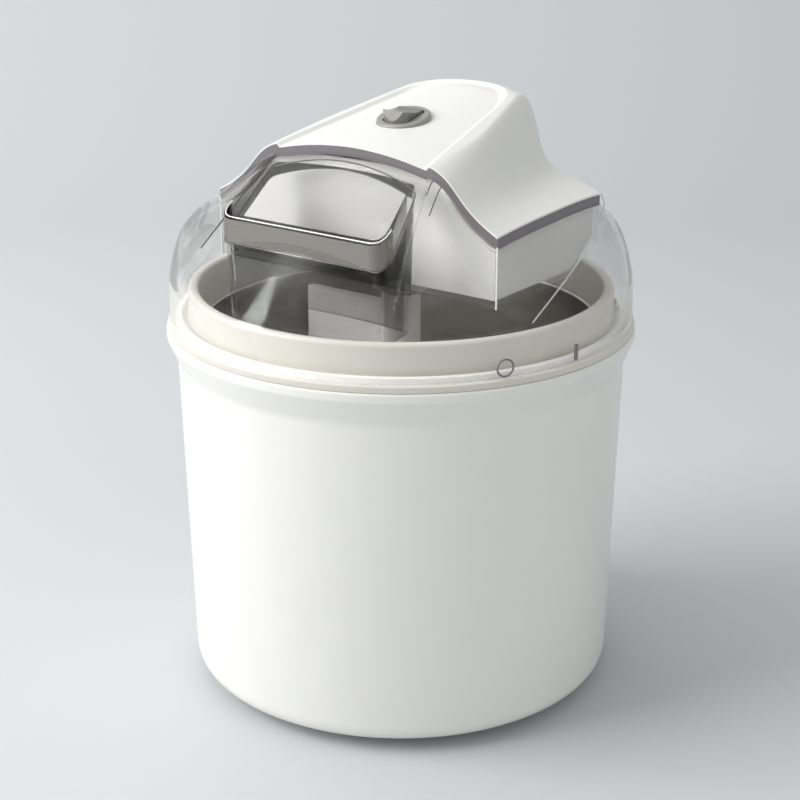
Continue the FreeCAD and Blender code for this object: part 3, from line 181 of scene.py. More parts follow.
def moulded_group():
    group, ins, outs = new_group(
        "moulded plastic",
        [("Colour", "NodeSocketColor", (0.8, 0.8, 0.8, 1)), ("Roughness", "NodeSocketFloat", 0.3),
         ("Unevenness", "NodeSocketFloat", 0.05), ("Scale", "NodeSocketFloat", 60.0)],
        [("Colour", "NodeSocketColor"), ("Roughness", "NodeSocketFloat"), ("Grain", "NodeSocketFloat")])
    place = group.nodes.new("ShaderNodeTexCoord")
    cloud = group.nodes.new("ShaderNodeTexNoise")
    cloud.inputs["Detail"].default_value = 4.0
    group.links.new(place.outputs["Object"], cloud.inputs["Vector"])
    group.links.new(ins.outputs["Scale"], cloud.inputs["Scale"])
    centred = group.nodes.new("ShaderNodeMath")
    centred.operation = "SUBTRACT"
    centred.inputs[1].default_value = 0.5
    group.links.new(cloud.outputs["Fac"], centred.inputs[0])
    spread = group.nodes.new("ShaderNodeMath")
    spread.operation = "MULTIPLY_ADD"
    group.links.new(centred.outputs[0], spread.inputs[0])
    group.links.new(ins.outputs["Unevenness"], spread.inputs[1])
    group.links.new(ins.outputs["Roughness"], spread.inputs[2])
    group.links.new(spread.outputs[0], outs.inputs["Roughness"])
    tint = group.nodes.new("ShaderNodeMath")
    tint.operation = "MULTIPLY_ADD"
    tint.inputs[1].default_value = 0.04
    tint.inputs[2].default_value = 1.0
    group.links.new(centred.outputs[0], tint.inputs[0])
    scale = group.nodes.new("ShaderNodeVectorMath")
    scale.operation = "SCALE"
    group.links.new(ins.outputs["Colour"], scale.inputs[0])
    group.links.new(tint.outputs[0], scale.inputs["Scale"])
    group.links.new(scale.outputs[0], outs.inputs["Colour"])
    grain = group.nodes.new("ShaderNodeTexNoise")
    grain.inputs["Scale"].default_value = 1400.0
    group.links.new(place.outputs["Object"], grain.inputs["Vector"])
    group.links.new(grain.outputs["Fac"], outs.inputs["Grain"])
    return group


MOULDED = moulded_group()
print("group:", MOULDED.name)


# %% Node group: lathe rings
def rings_group():
    group, ins, outs = new_group(
        "lathe rings",
        [("Density", "NodeSocketFloat", 900.0), ("Roughness", "NodeSocketFloat", 0.3),
         ("Spread", "NodeSocketFloat", 0.15)],
        [("Roughness", "NodeSocketFloat"), ("Height", "NodeSocketFloat")])
    place = group.nodes.new("ShaderNodeTexCoord")
    split = group.nodes.new("ShaderNodeSeparateXYZ")
    group.links.new(place.outputs["Object"], split.inputs[0])
    flat = group.nodes.new("ShaderNodeCombineXYZ")
    group.links.new(split.outputs["X"], flat.inputs["X"])
    group.links.new(split.outputs["Y"], flat.inputs["Y"])
    radius = group.nodes.new("ShaderNodeVectorMath")
    radius.operation = "LENGTH"
    group.links.new(flat.outputs[0], radius.inputs[0])
    along = group.nodes.new("ShaderNodeMath")
    along.operation = "ADD"
    group.links.new(radius.outputs["Value"], along.inputs[0])
    group.links.new(split.outputs["Z"], along.inputs[1])
    streaks = group.nodes.new("ShaderNodeTexNoise")
    streaks.noise_dimensions = "1D"
    streaks.inputs["Detail"].default_value = 6.0
    group.links.new(along.outputs[0], streaks.inputs["W"])
    group.links.new(ins.outputs["Density"], streaks.inputs["Scale"])
    spread = group.nodes.new("ShaderNodeMath")
    spread.operation = "MULTIPLY_ADD"
    group.links.new(streaks.outputs["Fac"], spread.inputs[0])
    group.links.new(ins.outputs["Spread"], spread.inputs[1])
    group.links.new(ins.outputs["Roughness"], spread.inputs[2])
    group.links.new(spread.outputs[0], outs.inputs["Roughness"])
    group.links.new(streaks.outputs["Fac"], outs.inputs["Height"])
    return group


RINGS = rings_group()
print("group:", RINGS.name)


# %% [markdown]
# Each material is a short function call: base colour, roughness and a little coat for the
# glossier plastics. The values that are the same all over a piece sit on the shader's own sockets.

# %% Opaque finishes
def shader_of(material):
    return material.node_tree.nodes["Principled BSDF"]


def add_group(material, group, **values):
    node = material.node_tree.nodes.new("ShaderNodeGroup")
    node.node_tree = group
    for label, value in values.items():
        node.inputs[label.replace("_", " ")].default_value = value
    return node


def plastic(name, colour, roughness=0.3, unevenness=0.05, coat=0.0, grain=0.0):
    material = bpy.data.materials.new(name)
    material.use_nodes = True
    shader = shader_of(material)
    links = material.node_tree.links
    moulded = add_group(material, MOULDED, Colour=(*colour, 1), Roughness=roughness, Unevenness=unevenness)
    links.new(moulded.outputs["Colour"], shader.inputs["Base Color"])
    links.new(moulded.outputs["Roughness"], shader.inputs["Roughness"])
    shader.inputs["Coat Weight"].default_value = coat
    shader.inputs["Coat Roughness"].default_value = 0.15
    if grain:
        bump = material.node_tree.nodes.new("ShaderNodeBump")
        bump.inputs["Strength"].default_value = grain
        bump.inputs["Distance"].default_value = 0.0001
        links.new(moulded.outputs["Grain"], bump.inputs["Height"])
        links.new(bump.outputs["Normal"], shader.inputs["Normal"])
    return material


def metal(name, colour, roughness=0.3, spread=0.1, density=900.0, relief=0.0):
    material = bpy.data.materials.new(name)
    material.use_nodes = True
    shader = shader_of(material)
    links = material.node_tree.links
    shader.inputs["Base Color"].default_value = (*colour, 1)
    shader.inputs["Metallic"].default_value = 1.0
    rings = add_group(material, RINGS, Density=density, Roughness=roughness, Spread=spread)
    links.new(rings.outputs["Roughness"], shader.inputs["Roughness"])
    if relief:
        bump = material.node_tree.nodes.new("ShaderNodeBump")
        bump.inputs["Strength"].default_value = relief
        bump.inputs["Distance"].default_value = 0.0002
        links.new(rings.outputs["Height"], bump.inputs["Height"])
        links.new(bump.outputs["Normal"], shader.inputs["Normal"])
    return material


WHITE_SHELL = plastic("white bucket", (0.80, 0.80, 0.775), roughness=0.34, coat=0.25)
WHITE_COVER = plastic("white cover", (0.80, 0.80, 0.775), roughness=0.36, coat=0.15)
BEIGE = plastic("beige collar", (0.66, 0.64, 0.585), roughness=0.38)
PALE = plastic("white paddle", (0.90, 0.90, 0.88), roughness=0.3)
TRAY = plastic("motor tray", (0.76, 0.755, 0.73), roughness=0.45)
RIM_GREY = plastic("rim grey", (0.16, 0.145, 0.155), roughness=0.28, coat=0.4)
BEZEL = plastic("switch bezel", (0.30, 0.30, 0.265), roughness=0.32)
ROCKER = plastic("switch rocker", (0.15, 0.15, 0.13), roughness=0.25, coat=0.5)
RUBBER = plastic("rubber", (0.05, 0.05, 0.05), roughness=0.7, grain=0.3)
FOOT = plastic("foot rubber", (0.12, 0.12, 0.12), roughness=0.75, grain=0.3)
GEL = plastic("gel", (0.3, 0.45, 0.6), roughness=0.3)
NYLON = plastic("nylon gears", (0.75, 0.72, 0.62), roughness=0.4)
BLACK = plastic("black plastic", (0.03, 0.03, 0.03), roughness=0.4)
ALUMINIUM = metal("spun aluminium", (0.68, 0.66, 0.62), roughness=0.1, spread=0.12, relief=0.1)
round_axis = ALUMINIUM.node_tree.nodes.new("ShaderNodeTangent")
round_axis.direction_type = "RADIAL"
round_axis.axis = "Z"
ALUMINIUM.node_tree.links.new(round_axis.outputs[0], shader_of(ALUMINIUM).inputs["Tangent"])
shader_of(ALUMINIUM).inputs["Anisotropic"].default_value = 0.75
STEEL = metal("turned steel", (0.55, 0.55, 0.55), roughness=0.25)
ZINC = metal("zinc plate", (0.5, 0.51, 0.5), roughness=0.4)
BRASS = metal("brass", (0.75, 0.55, 0.25), roughness=0.25)
print("materials:", len(bpy.data.materials))


# %% [markdown]
# The lid is clear plastic. Cycles gives a solid clear wall its own dark edges and reflections, but
# a thin wall hardly bends what is seen through it, and glass shaders block the light to the bowl.
# So each wall is mostly transparent where it faces the eye, turns to real glass towards its edges,
# and lets shadow rays through.

# %% Clear plastic
def clear_plastic(name, colour, roughness=0.0, ior=1.45, shade=0.985, least=0.05, most=0.7):
    material = bpy.data.materials.new(name)
    material.use_nodes = True
    nodes, links = material.node_tree.nodes, material.node_tree.links
    shader = shader_of(material)
    shader.inputs["Base Color"].default_value = (*colour, 1)
    shader.inputs["Roughness"].default_value = roughness
    shader.inputs["IOR"].default_value = ior
    shader.inputs["Transmission Weight"].default_value = 1.0
    through = nodes.new("ShaderNodeBsdfTransparent")
    through.inputs["Color"].default_value = (shade, shade, shade, 1)
    facing = nodes.new("ShaderNodeLayerWeight")
    facing.inputs["Blend"].default_value = 0.5
    solid = nodes.new("ShaderNodeMapRange")
    solid.inputs["From Min"].default_value, solid.inputs["From Max"].default_value = 0.45, 0.95
    solid.inputs["To Min"].default_value, solid.inputs["To Max"].default_value = least, most
    links.new(facing.outputs["Facing"], solid.inputs["Value"])
    path = nodes.new("ShaderNodeLightPath")
    seen = nodes.new("ShaderNodeMath")
    seen.operation = "SUBTRACT"
    seen.use_clamp = True
    links.new(solid.outputs["Result"], seen.inputs[0])
    links.new(path.outputs["Is Shadow Ray"], seen.inputs[1])
    mix = nodes.new("ShaderNodeMixShader")
    links.new(seen.outputs[0], mix.inputs["Fac"])
    links.new(through.outputs["BSDF"], mix.inputs[1])
    links.new(shader.outputs["BSDF"], mix.inputs[2])
    links.new(mix.outputs["Shader"], nodes["Material Output"].inputs["Surface"])
    return material


CLEAR = clear_plastic("clear plastic", (0.97, 0.975, 0.975))
print("clear:", CLEAR.name)

# %% [markdown]
# ## The nodes that keep their CAD shape
# Gears, screws, motor and axles are already right, so they only get a finish. One table says which
# finish each record slot takes.

# %% Finish the CAD nodes
FINISH_OF_SLOT = {
    "white_shell": WHITE_SHELL, "white_cover": WHITE_COVER, "clear_plastic": CLEAR, "beige_collar": BEIGE,
    "bowl_aluminium": ALUMINIUM, "jacket_plastic": PALE, "gel": GEL, "seal_rubber": RUBBER,
    "foot_rubber": FOOT, "slip_plastic": PALE, "tray_plastic": TRAY, "steel": STEEL, "steel_sheet": ZINC,
    "black_plastic": BLACK, "brass": BRASS, "bezel_grey": BEZEL, "rocker_grey": ROCKER,
    "gear_plastic": NYLON, "paddle_plastic": PALE, "rim_grey": RIM_GREY,
}
SLOT_OF_NODE = {entry["node"]: entry["material_slot"] for entry in frame["record"]["subparts"]}
for node, cad in frame["nodes"].items():
    cad.data.materials.clear()
    cad.data.materials.append(FINISH_OF_SLOT[SLOT_OF_NODE[node]])
print("finished:", len(frame["nodes"]))


def stand_for(piece, body, slot, material, *nodes):
    """Ride a new piece on a body, and hide the CAD nodes that it stands for."""
    if material and not piece.data.materials:
        piece.data.materials.append(material)
    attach(piece, body)
    if nodes:
        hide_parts(*nodes)
    return piece


# %% [markdown]
# ## Bucket
# The bucket is one moulding: a slightly tapered wall that flares into a rolled lip. It could be a
# subdivided cylinder, but then the roundings would depend on loop cuts. We lathe it from the sizes of
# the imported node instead, with a larger rounding at the foot and small ones at the lip.

# %% Bucket
BASE_Z = foot_of("outer_housing")
WALL = 2.5
LOW_RADIUS, TOP_RADIUS, LIP_START = 92.5, 95.7, RIM_TOP - 14.0
bucket = lathe("bucket_shell", [
    (0, BASE_Z, 0), (LOW_RADIUS, BASE_Z, 8.0), (TOP_RADIUS, LIP_START, 10.0),
    (RIM_RADIUS, RIM_TOP - 3.6, 2.5),
    (RIM_RADIUS, RIM_TOP, 1.0), (RIM_RADIUS - 3.7, RIM_TOP, 0.6), (RIM_RADIUS - 3.7, RIM_TOP - 3.0, 1.0),
    (TOP_RADIUS - WALL, LIP_START, 6.0), (LOW_RADIUS - WALL, BASE_Z + WALL, 5.5), (0, BASE_Z + WALL, 0),
])
stand_for(soften(bucket, 40), "base", "white_shell", WHITE_SHELL, "outer_housing")

# %% [markdown]
# ## Freezer bowl
# The liner is spun aluminium, and its mouth carries a beige collar that the lid locks on to. Both are
# round, so the same lathe makes them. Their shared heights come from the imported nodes, which keeps
# the collar exactly between the bucket and the lid.

# %% Liner and collar
LINER_MOUTH, LINER_FLOOR = 83.0, 79.0
FLOOR_Z = foot_of("bowl_pivot")
liner = lathe("bowl_liner_spun", [
    (0, FLOOR_Z - 1.2, 0), (LINER_FLOOR + 1.2, FLOOR_Z - 1.2, 11.0), (LINER_MOUTH + 1.2, RIM_TOP, 0.8),
    (90.3, RIM_TOP, 0.2), (90.3, RIM_TOP + 1.15, 0.2), (LINER_MOUTH, RIM_TOP + 1.15, 1.4),
    (LINER_FLOOR, FLOOR_Z, 10.0), (0, FLOOR_Z, 0),
], steps=10)
stand_for(soften(liner, 40), "bowl", "bowl_aluminium", ALUMINIUM, "bowl_liner")

SKIN = 0.02  # keeps touching faces apart
collar = lathe("collar_moulded", [
    (84.4, RIM_TOP + 1.25, 0), (90.4, RIM_TOP + 1.25, 0), (90.4, RIM_TOP + SKIN, 0),
    (99.2, RIM_TOP + SKIN, 0.6), (99.2, LID_FOOT - SKIN, 0.8), (90.8, LID_FOOT - SKIN, 0.8),
    (90.3, COLLAR_TOP, 2.0), (86.0, COLLAR_TOP, 2.0),
])
stand_for(soften(collar, 50), "bowl", "beige_collar", BEIGE, "bowl_collar", "collar_gasket")


# %% [markdown]
# ## The shape of the lid and the motor cover
# Lid and cover are both roofs: every point above the plan has one height. So we write the height as
# a formula: an elliptical dome, a hood in front that is part of a large cylinder, and the bell of
# the motor unit, which falls from a crowned deck to low wings. A soft minimum joins them, which
# rounds the creases the way a mould does.

# %% Heights of the roofs
def soft_min(a, b, width):
    """The smaller of two heights, with the crease between them rounded."""
    share = np.clip(0.5 + 0.5 * (b - a) / width, 0, 1)
    return b * (1 - share) + a * share - width * share * (1 - share)


HOOD = math.radians(42.2)
HOOD_CROWN = 200.0
HOOD_FOOT_Y, HOOD_FOOT_Z = -71.3, 203.3
FACET_FALL = math.tan(math.radians(54.0))
PANEL_STEP = 1.4
POD_ARC = 153.0
DOME_HALF_HEIGHT = 79.0


def back_edge(x):
    """The motor unit's curved back, seen from above."""
    return POD_BACK - POD_ARC + np.sqrt(POD_ARC ** 2 - x * x)


def dome_height(x, y, grow=0.0):
    spread = 1 - (x * x + y * y) / (LID_RADIUS + grow) ** 2
    return DOME_FOOT + (DOME_HALF_HEIGHT + grow) * np.sqrt(np.maximum(spread, 0))


def hood_height(x, y, grow=0.0):
    """A cylinder whose axis runs up the slope, seen from above."""
    radius = HOOD_CROWN + grow
    across = np.sqrt(np.maximum(radius ** 2 - x * x, 1.0)) - HOOD_CROWN
    return HOOD_FOOT_Z + (y - HOOD_FOOT_Y) * math.tan(HOOD) + across / math.cos(HOOD)


# Cross-sections of the bell: y, crown of the deck, then (x, height) from deck edge to wing edge
BELL = [
    (-110.0, 5.5, [(46.0, 219.0), (51.0, 214.0), (58.0, 207.0), (64.0, 202.0), (71.0, 197.0)]),
    (-34.0, 5.5, [(43.5, 235.6), (48.0, 231.6), (55.5, 223.8), (63.0, 217.8), (71.0, 213.2)]),
    (2.0, 5.0, [(39.5, 242.2), (43.0, 236.5), (48.5, 227.0), (57.0, 220.2), (71.0, 215.7)]),
    (45.0, 3.6, [(30.0, 251.0), (33.5, 241.0), (37.0, 231.5), (48.6, 221.4), (71.0, 216.0)]),
    (110.0, 3.0, [(20.0, 262.0), (24.0, 251.0), (29.0, 240.0), (42.0, 222.0), (71.0, 205.0)]),
]
BELL_Y = np.array([row[0] for row in BELL])
LEAD_IN = 6.0  # the flank's curve starts this far inside the deck's edge
CREASE, MORE_AT_BACK = 3.0, 6.0  # rounding between deck and flank


def smooth_through(knots, values, at):
    """A natural cubic spline through the knots."""
    n = len(knots)
    gaps = np.diff(knots)
    system, right = np.zeros((n, n)), np.zeros(n)
    system[0, 0] = system[-1, -1] = 1
    for i in range(1, n - 1):
        system[i, i - 1:i + 2] = gaps[i - 1], 2 * (gaps[i - 1] + gaps[i]), gaps[i]
        right[i] = 6 * ((values[i + 1] - values[i]) / gaps[i] - (values[i] - values[i - 1]) / gaps[i - 1])
    bend = np.linalg.solve(system, right)
    i = np.clip(np.searchsorted(knots, at) - 1, 0, n - 2)
    gap, start, end = gaps[i], np.asarray(values)[i], np.asarray(values)[i + 1]
    a, b = knots[i + 1] - at, at - knots[i]
    return (bend[i] * a ** 3 + bend[i + 1] * b ** 3) / (6 * gap) + (start / gap - bend[i] * gap / 6) * a + (
        end / gap - bend[i + 1] * gap / 6) * b


def section_at(y):
    """The bell's section at y: crown, then the x and height of its five flank points."""
    crown = smooth_through(BELL_Y, [row[1] for row in BELL], y)
    xs = [smooth_through(BELL_Y, [row[2][k][0] for row in BELL], y) for k in range(5)]
    zs = [smooth_through(BELL_Y, [row[2][k][1] for row in BELL], y) for k in range(5)]
    return float(crown), np.array(xs, float), np.array(zs, float)


def bell_row(x, y):
    """Heights of the bell along x at one y: crowned deck, hollow flank, wing, all with soft joins."""
    crown, xs, zs = section_at(y)
    side = np.abs(x)
    radius = (xs[0] ** 2 + crown ** 2) / (2 * crown)
    deck = zs[0] + crown - radius + np.sqrt(np.maximum(radius ** 2 - side ** 2, 1.0))
    knots = np.concatenate([[xs[0] - LEAD_IN], xs])
    heights = np.concatenate([[zs[0] + LEAD_IN * (zs[0] - zs[1]) / (xs[1] - xs[0])], zs])
    flank = smooth_through(knots, heights, np.clip(side, knots[0], knots[-1]))
    beyond = np.maximum(side - xs[-1], 0)
    steep = np.maximum(knots[0] - side, 0)
    flank = flank - beyond * FACET_FALL + steep * 6.0
    return soft_min(deck, flank, CREASE + MORE_AT_BACK * np.clip((y - 5.0) / 45.0, 0, 1))


def bell_height(x, y):
    """Heights of the bell at scattered places, worked out row by row."""
    x, y = np.atleast_1d(x), np.atleast_1d(y)
    out = np.empty(len(x))
    for value in np.unique(y):
        rows = y == value
        out[rows] = bell_row(x[rows], value)
    return out


print("deck height at the switch:", round(float(bell_height(0.0, 2.0)[0]), 2))


# %% [markdown]
# The front panel and the deck lie a little lower than the ridges beside them. A mask gives 1 inside
# the recess and 0 outside, with a soft step, and is used for both roofs.

# %% Recess masks
RIDGE = 6.0  # width of the ridge round the deck
DECK_RECESS = 2.0
DECK_FRONT_Y, DECK_LENGTH, POD_END = -34.0, 79.0, 60.0
DECK_FRONT_HALF, DECK_BACK_HALF = 43.5, 30.0
DECK_END_BOW, DECK_CORNER, DECK_SOFTNESS = 95.0, 16.0, 1.5
PANEL_TOP_HALF, PANEL_FOOT_HALF, PANEL_RUN, PANEL_SOFTNESS = 38.0, 50.0, 37.3, 1.1
BACK_TOP, BACK_FALL = 212.5, 1.25  # the lid behind the motor unit
RIM_BAND, FRONT_BAND = 4.0, 1.5  # depth of the rim below the cover at the sides, and in front


def soft_step(distance, width):
    share = np.clip(0.5 + distance / (2 * width), 0, 1)
    return share * share * (3 - 2 * share)


def deck_mask(x, y):
    """1 on the recessed deck: straight sides that close in towards the back, and a rounded end."""
    lean = (DECK_FRONT_HALF - DECK_BACK_HALF) / DECK_LENGTH
    sides = (DECK_FRONT_HALF - RIDGE) - lean * (y - DECK_FRONT_Y) - np.abs(x)
    end = (POD_END - RIDGE) - y - x * x / DECK_END_BOW
    return soft_step(soft_min(sides, end, DECK_CORNER), DECK_SOFTNESS)


def panel_mask(x, y):
    """1 on the front panel, which widens towards its foot."""
    half = PANEL_TOP_HALF + (DECK_FRONT_Y - y) * (PANEL_FOOT_HALF - PANEL_TOP_HALF) / PANEL_RUN
    return soft_step(half - np.abs(x), PANEL_SOFTNESS)


NO_LIMIT = 1e3
STEEP_WALL = 1.45  # a sloping wall is this much thicker when measured upright


def back_height(x, y):
    """The lid behind the motor unit, which slopes down to the skirt."""
    return BACK_TOP - BACK_FALL * (y - back_edge(np.clip(x, -POD_HALF, POD_HALF)))


def lid_height(x, y, inward=0.0):
    """The lid's outer surface, or the surface that lies inward of it."""
    dome = dome_height(x, y, -inward)
    hood = hood_height(x, y, PANEL_STEP * (1 - panel_mask(x, y)) - inward)
    back = np.where(y > 0, back_height(x, y), NO_LIMIT)
    flank = np.minimum(bell_height(x, y) - RIM_BAND, back) - inward * STEEP_WALL
    return soft_min(soft_min(dome, hood, 3.0), flank, 2.0)


print("lid height in front of the deck:", np.round(lid_height(np.array([0.0]), np.array([-34.0])), 1))


# %% [markdown]
# ## Motor cover
# The cover is a grid over the motor unit's plan. Rows run from the front edge to the curved back, and
# the columns are packed closer where the flank is steep. Its edge is rolled over and then goes down
# as a short skirt, and a Solidify modifier gives the wall its thickness.

# %% Cover grid
def spaced(stretches):
    """Sample places along x, each stretch (start, end, count) with its own density."""
    parts = [np.linspace(a, b, n, endpoint=False) for a, b, n in stretches]
    half = np.concatenate(parts + [[stretches[-1][1]]])
    return np.concatenate([-half[:0:-1], half])


def cover_height(x, y):
    return bell_height(x, y) - DECK_RECESS * deck_mask(x, y)


def rim_height(x, y):
    """Top of the dark rim that the cover's edge rests on."""
    dome = dome_height(x, y, 2.4)
    hood = hood_height(x, y, PANEL_STEP * (1 - panel_mask(x, y)) + FRONT_BAND)
    back = np.where(y > 0, back_height(x, y) + 3.2, NO_LIMIT)
    return np.minimum(np.minimum(np.minimum(dome, hood), bell_height(x, y) - 0.9), back)


def grid_mesh(name, rows):
    """A mesh from rows of points, all of one length."""
    height, width = len(rows), len(rows[0])
    points = [tuple(p) for row in rows for p in row]
    faces = [
        (r * width + c, r * width + c + 1, (r + 1) * width + c + 1, (r + 1) * width + c)
        for r in range(height - 1) for c in range(width - 1)
    ]
    mesh = bpy.data.meshes.new(name)
    mesh.from_pydata(points, [], faces)
    return mesh


ROLL_LENGTH, ROLL_DROP = 16.0, 8.0  # how the cover rolls over at its back edge


def make_cover():
    half = POD_HALF
    xs = spaced([(0, 24, 20), (24, 48, 64), (48, half - 2.0, 24), (half - 2.0, half, 8)])
    shares = np.concatenate([
        np.linspace(0, 0.015, 6, endpoint=False),
        np.linspace(0.015, 0.84, 100, endpoint=False),
        0.84 + 0.16 * np.sin(np.linspace(0, math.pi / 2, 34)),
    ])
    form = bmesh.new()
    lattice = []
    for share in shares:
        y = -POD_FRONT + share * (back_edge(xs) + POD_FRONT)
        z = cover_height(xs, y)
        to_back = (1 - share) * (back_edge(xs) + POD_FRONT)
        roll = np.clip(1 - to_back / ROLL_LENGTH, 0, 1)
        room = np.clip((z - rim_height(xs, y) - 1.0) / ROLL_LENGTH, 0, 1)
        z = z - ROLL_DROP * (1 - np.sqrt(1 - roll ** 2)) * room
        lattice.append([form.verts.new((a * MM, b * MM, c * MM)) for a, b, c in zip(xs, y, z)])
    for lower, upper in zip(lattice, lattice[1:]):
        for k in range(len(xs) - 1):
            form.faces.new((lower[k], lower[k + 1], upper[k + 1], upper[k]))
    edge = lattice[0] + [row[-1] for row in lattice[1:]]
    edge += lattice[-1][-2::-1] + [row[0] for row in lattice[-2:0:-1]]
    foot = []
    for v in edge:
        x, y = v.co.x / MM, v.co.y / MM
        low = min(float(rim_height(np.array([x]), np.array([y]))[0]) + 0.1, v.co.z / MM - 0.5)
        foot.append(form.verts.new((v.co.x, v.co.y, low * MM)))
    for k in range(len(edge)):
        n = (k + 1) % len(edge)
        form.faces.new((edge[k], foot[k], foot[n], edge[n]))
    bmesh.ops.recalc_face_normals(form, faces=form.faces)
    mesh = bpy.data.meshes.new("cover_moulded")
    form.to_mesh(mesh)
    form.free()
    cover = link("cover_moulded", mesh)
    print(f"cover: {len(mesh.polygons)} faces")
    return cover


cover = make_cover()
if cover.data.polygons[0].normal.z < 0:
    cover.data.flip_normals()
thick = cover.modifiers.new("wall", "SOLIDIFY")
thick.thickness = 2.2 * MM
thick.offset = -1
soften(cover, 40)


# %% [markdown]
# The switch stands in a round hole with a flat seat. A Boolean with a tilted cylinder cuts both the
# hole and the seat, so the rocker can be seen to go through the cover.

# %% Hole for the switch
DECK_TILT = math.radians(13.0)
SEAT = Vector((0, 2.0, 244.9)) * MM
DECK_TURN = Matrix.Rotation(DECK_TILT, 4, "X")


def cutter(name, radius, low, high):
    mesh = bpy.data.meshes.new(name)
    form = bmesh.new()
    bmesh.ops.create_cone(form, cap_ends=True, segments=96, radius1=radius * MM, radius2=radius * MM,
                          depth=(high - low) * MM)
    bmesh.ops.translate(form, verts=form.verts, vec=(0, 0, (low + high) / 2 * MM))
    form.to_mesh(mesh)
    form.free()
    mesh.transform(Matrix.Translation(SEAT) @ DECK_TURN)
    return link(name, mesh, smooth=False)


def apply_modifiers(piece):
    """Turn the modified shape into the piece's own mesh."""
    bpy.context.view_layer.update()
    depsgraph = bpy.context.evaluated_depsgraph_get()
    mesh = bpy.data.meshes.new_from_object(piece.evaluated_get(depsgraph))
    old = piece.data
    piece.modifiers.clear()
    piece.data = mesh
    bpy.data.meshes.remove(old)
    return piece


def carve(piece, *tools):
    """Subtract the tools from the piece, then delete them."""
    for tool in tools:
        step = piece.modifiers.new("cut " + tool.name, "BOOLEAN")
        step.operation = "DIFFERENCE"
        step.solver = "EXACT"
        step.object = tool
    apply_modifiers(piece)
    for tool in tools:
        bpy.data.objects.remove(tool)
    return piece


carve(cover, cutter("spot", 11.7, 0.0, 8.0), cutter("bore", 10.0, -12.0, 4.0))
stand_for(soften(cover, 40), "motor_unit", "white_cover", WHITE_COVER, "motor_cover")
print("cover after cutting:", len(cover.data.polygons))


# %% [markdown]
# ## Lid
# The lid's grid runs in rings from its skirt up to the edge of the pocket. Each ring is a blend
# between the round skirt and the pocket's outline, so the mesh ends exactly on that outline. The
# outer and inner skins are joined into one closed wall.

# %% Lid rings
def pod_reach(angle, inset=0.0):
    """Distance from the axis to the motor unit's outline at a bearing."""
    c, s = math.cos(angle), math.sin(angle)
    best = 1e9
    if abs(c) > 1e-9:
        best = min(best, (POD_HALF - inset) / abs(c))
    if s < 0:
        best = min(best, (POD_FRONT - inset) / -s)
    centre = POD_BACK - POD_ARC
    radius = POD_ARC - inset
    along = s * centre + math.sqrt(radius ** 2 - (c * centre) ** 2)
    return min(best, along)


CORNER_ANGLES = [math.atan2(-POD_FRONT, POD_HALF),
                 math.atan2(float(back_edge(np.array([POD_HALF]))[0]), POD_HALF)]


PANEL_SIDES = ((-62, -36), (-144, -118))  # bearings in degrees where the panel steps down


def bearings(count=360):
    """Bearings that are closer at the panel's sides, with the outline's corners added exactly."""
    angles = {round(2 * math.pi * k / count, 9) for k in range(count)}
    for low, high in PANEL_SIDES:
        finer = (math.radians(low + (high - low) * k / 150) for k in range(151))
        angles |= {round(a % (2 * math.pi), 9) for a in finer}
    for corner in CORNER_ANGLES:
        for a in (corner, math.pi - corner):
            angles.add(round(a % (2 * math.pi), 9))
    return sorted(angles)


ANGLES = bearings()


SKIRT_RINGS = 8
EVEN_SHARE, EASED_SHARE = 0.35, 0.65  # how the rings are spread between skirt and pocket


def lid_skin(inward, steps=120):
    """Rings of points from the skirt's foot to the pocket's outline."""
    outer = LID_RADIUS - inward
    cosines, sines = np.cos(ANGLES), np.sin(ANGLES)
    inner = np.array([pod_reach(a) for a in ANGLES])
    rings = [
        np.stack([outer * cosines, outer * sines, np.full(len(ANGLES), z)], 1)
        for z in np.linspace(LID_FOOT, DOME_FOOT, SKIRT_RINGS, endpoint=False)
    ]
    for share in np.linspace(0, 1, steps):
        fall = 1 - math.cos(share * math.pi / 2)
        mix = EVEN_SHARE * share + EASED_SHARE * fall
        reach = outer + (inner - outer) * mix
        x, y = reach * cosines, reach * sines
        z = lid_height(x, y, inward)
        if share == 0:
            z = np.full(len(ANGLES), DOME_FOOT)
        rings.append(np.stack([x, y, z], 1))
    return rings


def closed_wall(name, rows):
    """A closed wall from rings of places in millimetres, with the last ring joined to the first."""
    form = bmesh.new()
    lattice = [[form.verts.new((p[0] * MM, p[1] * MM, p[2] * MM)) for p in row] for row in rows]
    for lower, upper in zip(lattice, lattice[1:] + lattice[:1]):
        for k in range(len(lower)):
            n = (k + 1) % len(lower)
            form.faces.new((lower[k], lower[n], upper[n], upper[k]))
    bmesh.ops.recalc_face_normals(form, faces=form.faces)
    mesh = bpy.data.meshes.new(name)
    form.to_mesh(mesh)
    form.free()
    print(f"{name}: {len(mesh.polygons)} faces")
    return link(name, mesh)


LID_WALL = 2.5
lid = closed_wall("lid_dome", lid_skin(0.0) + lid_skin(LID_WALL)[::-1])


# %% [markdown]
# The fill chute is an upright tube with a rounded outline. Its top edge follows a sloping plane, so a
# lip stands out of the panel in front and dies away behind. The panel's hole is cut along the
# tube's outside, and the tube then fills it.

# %% Chute
CHUTE_FRONT, CHUTE_BACK = -68.0, -37.6
CHUTE_HALF, CHUTE_BACK_HALF = 42.0, 37.0
CHUTE_FOOT = 170.0
LIP_FRONT, LIP_BACK = 212.0, 230.0


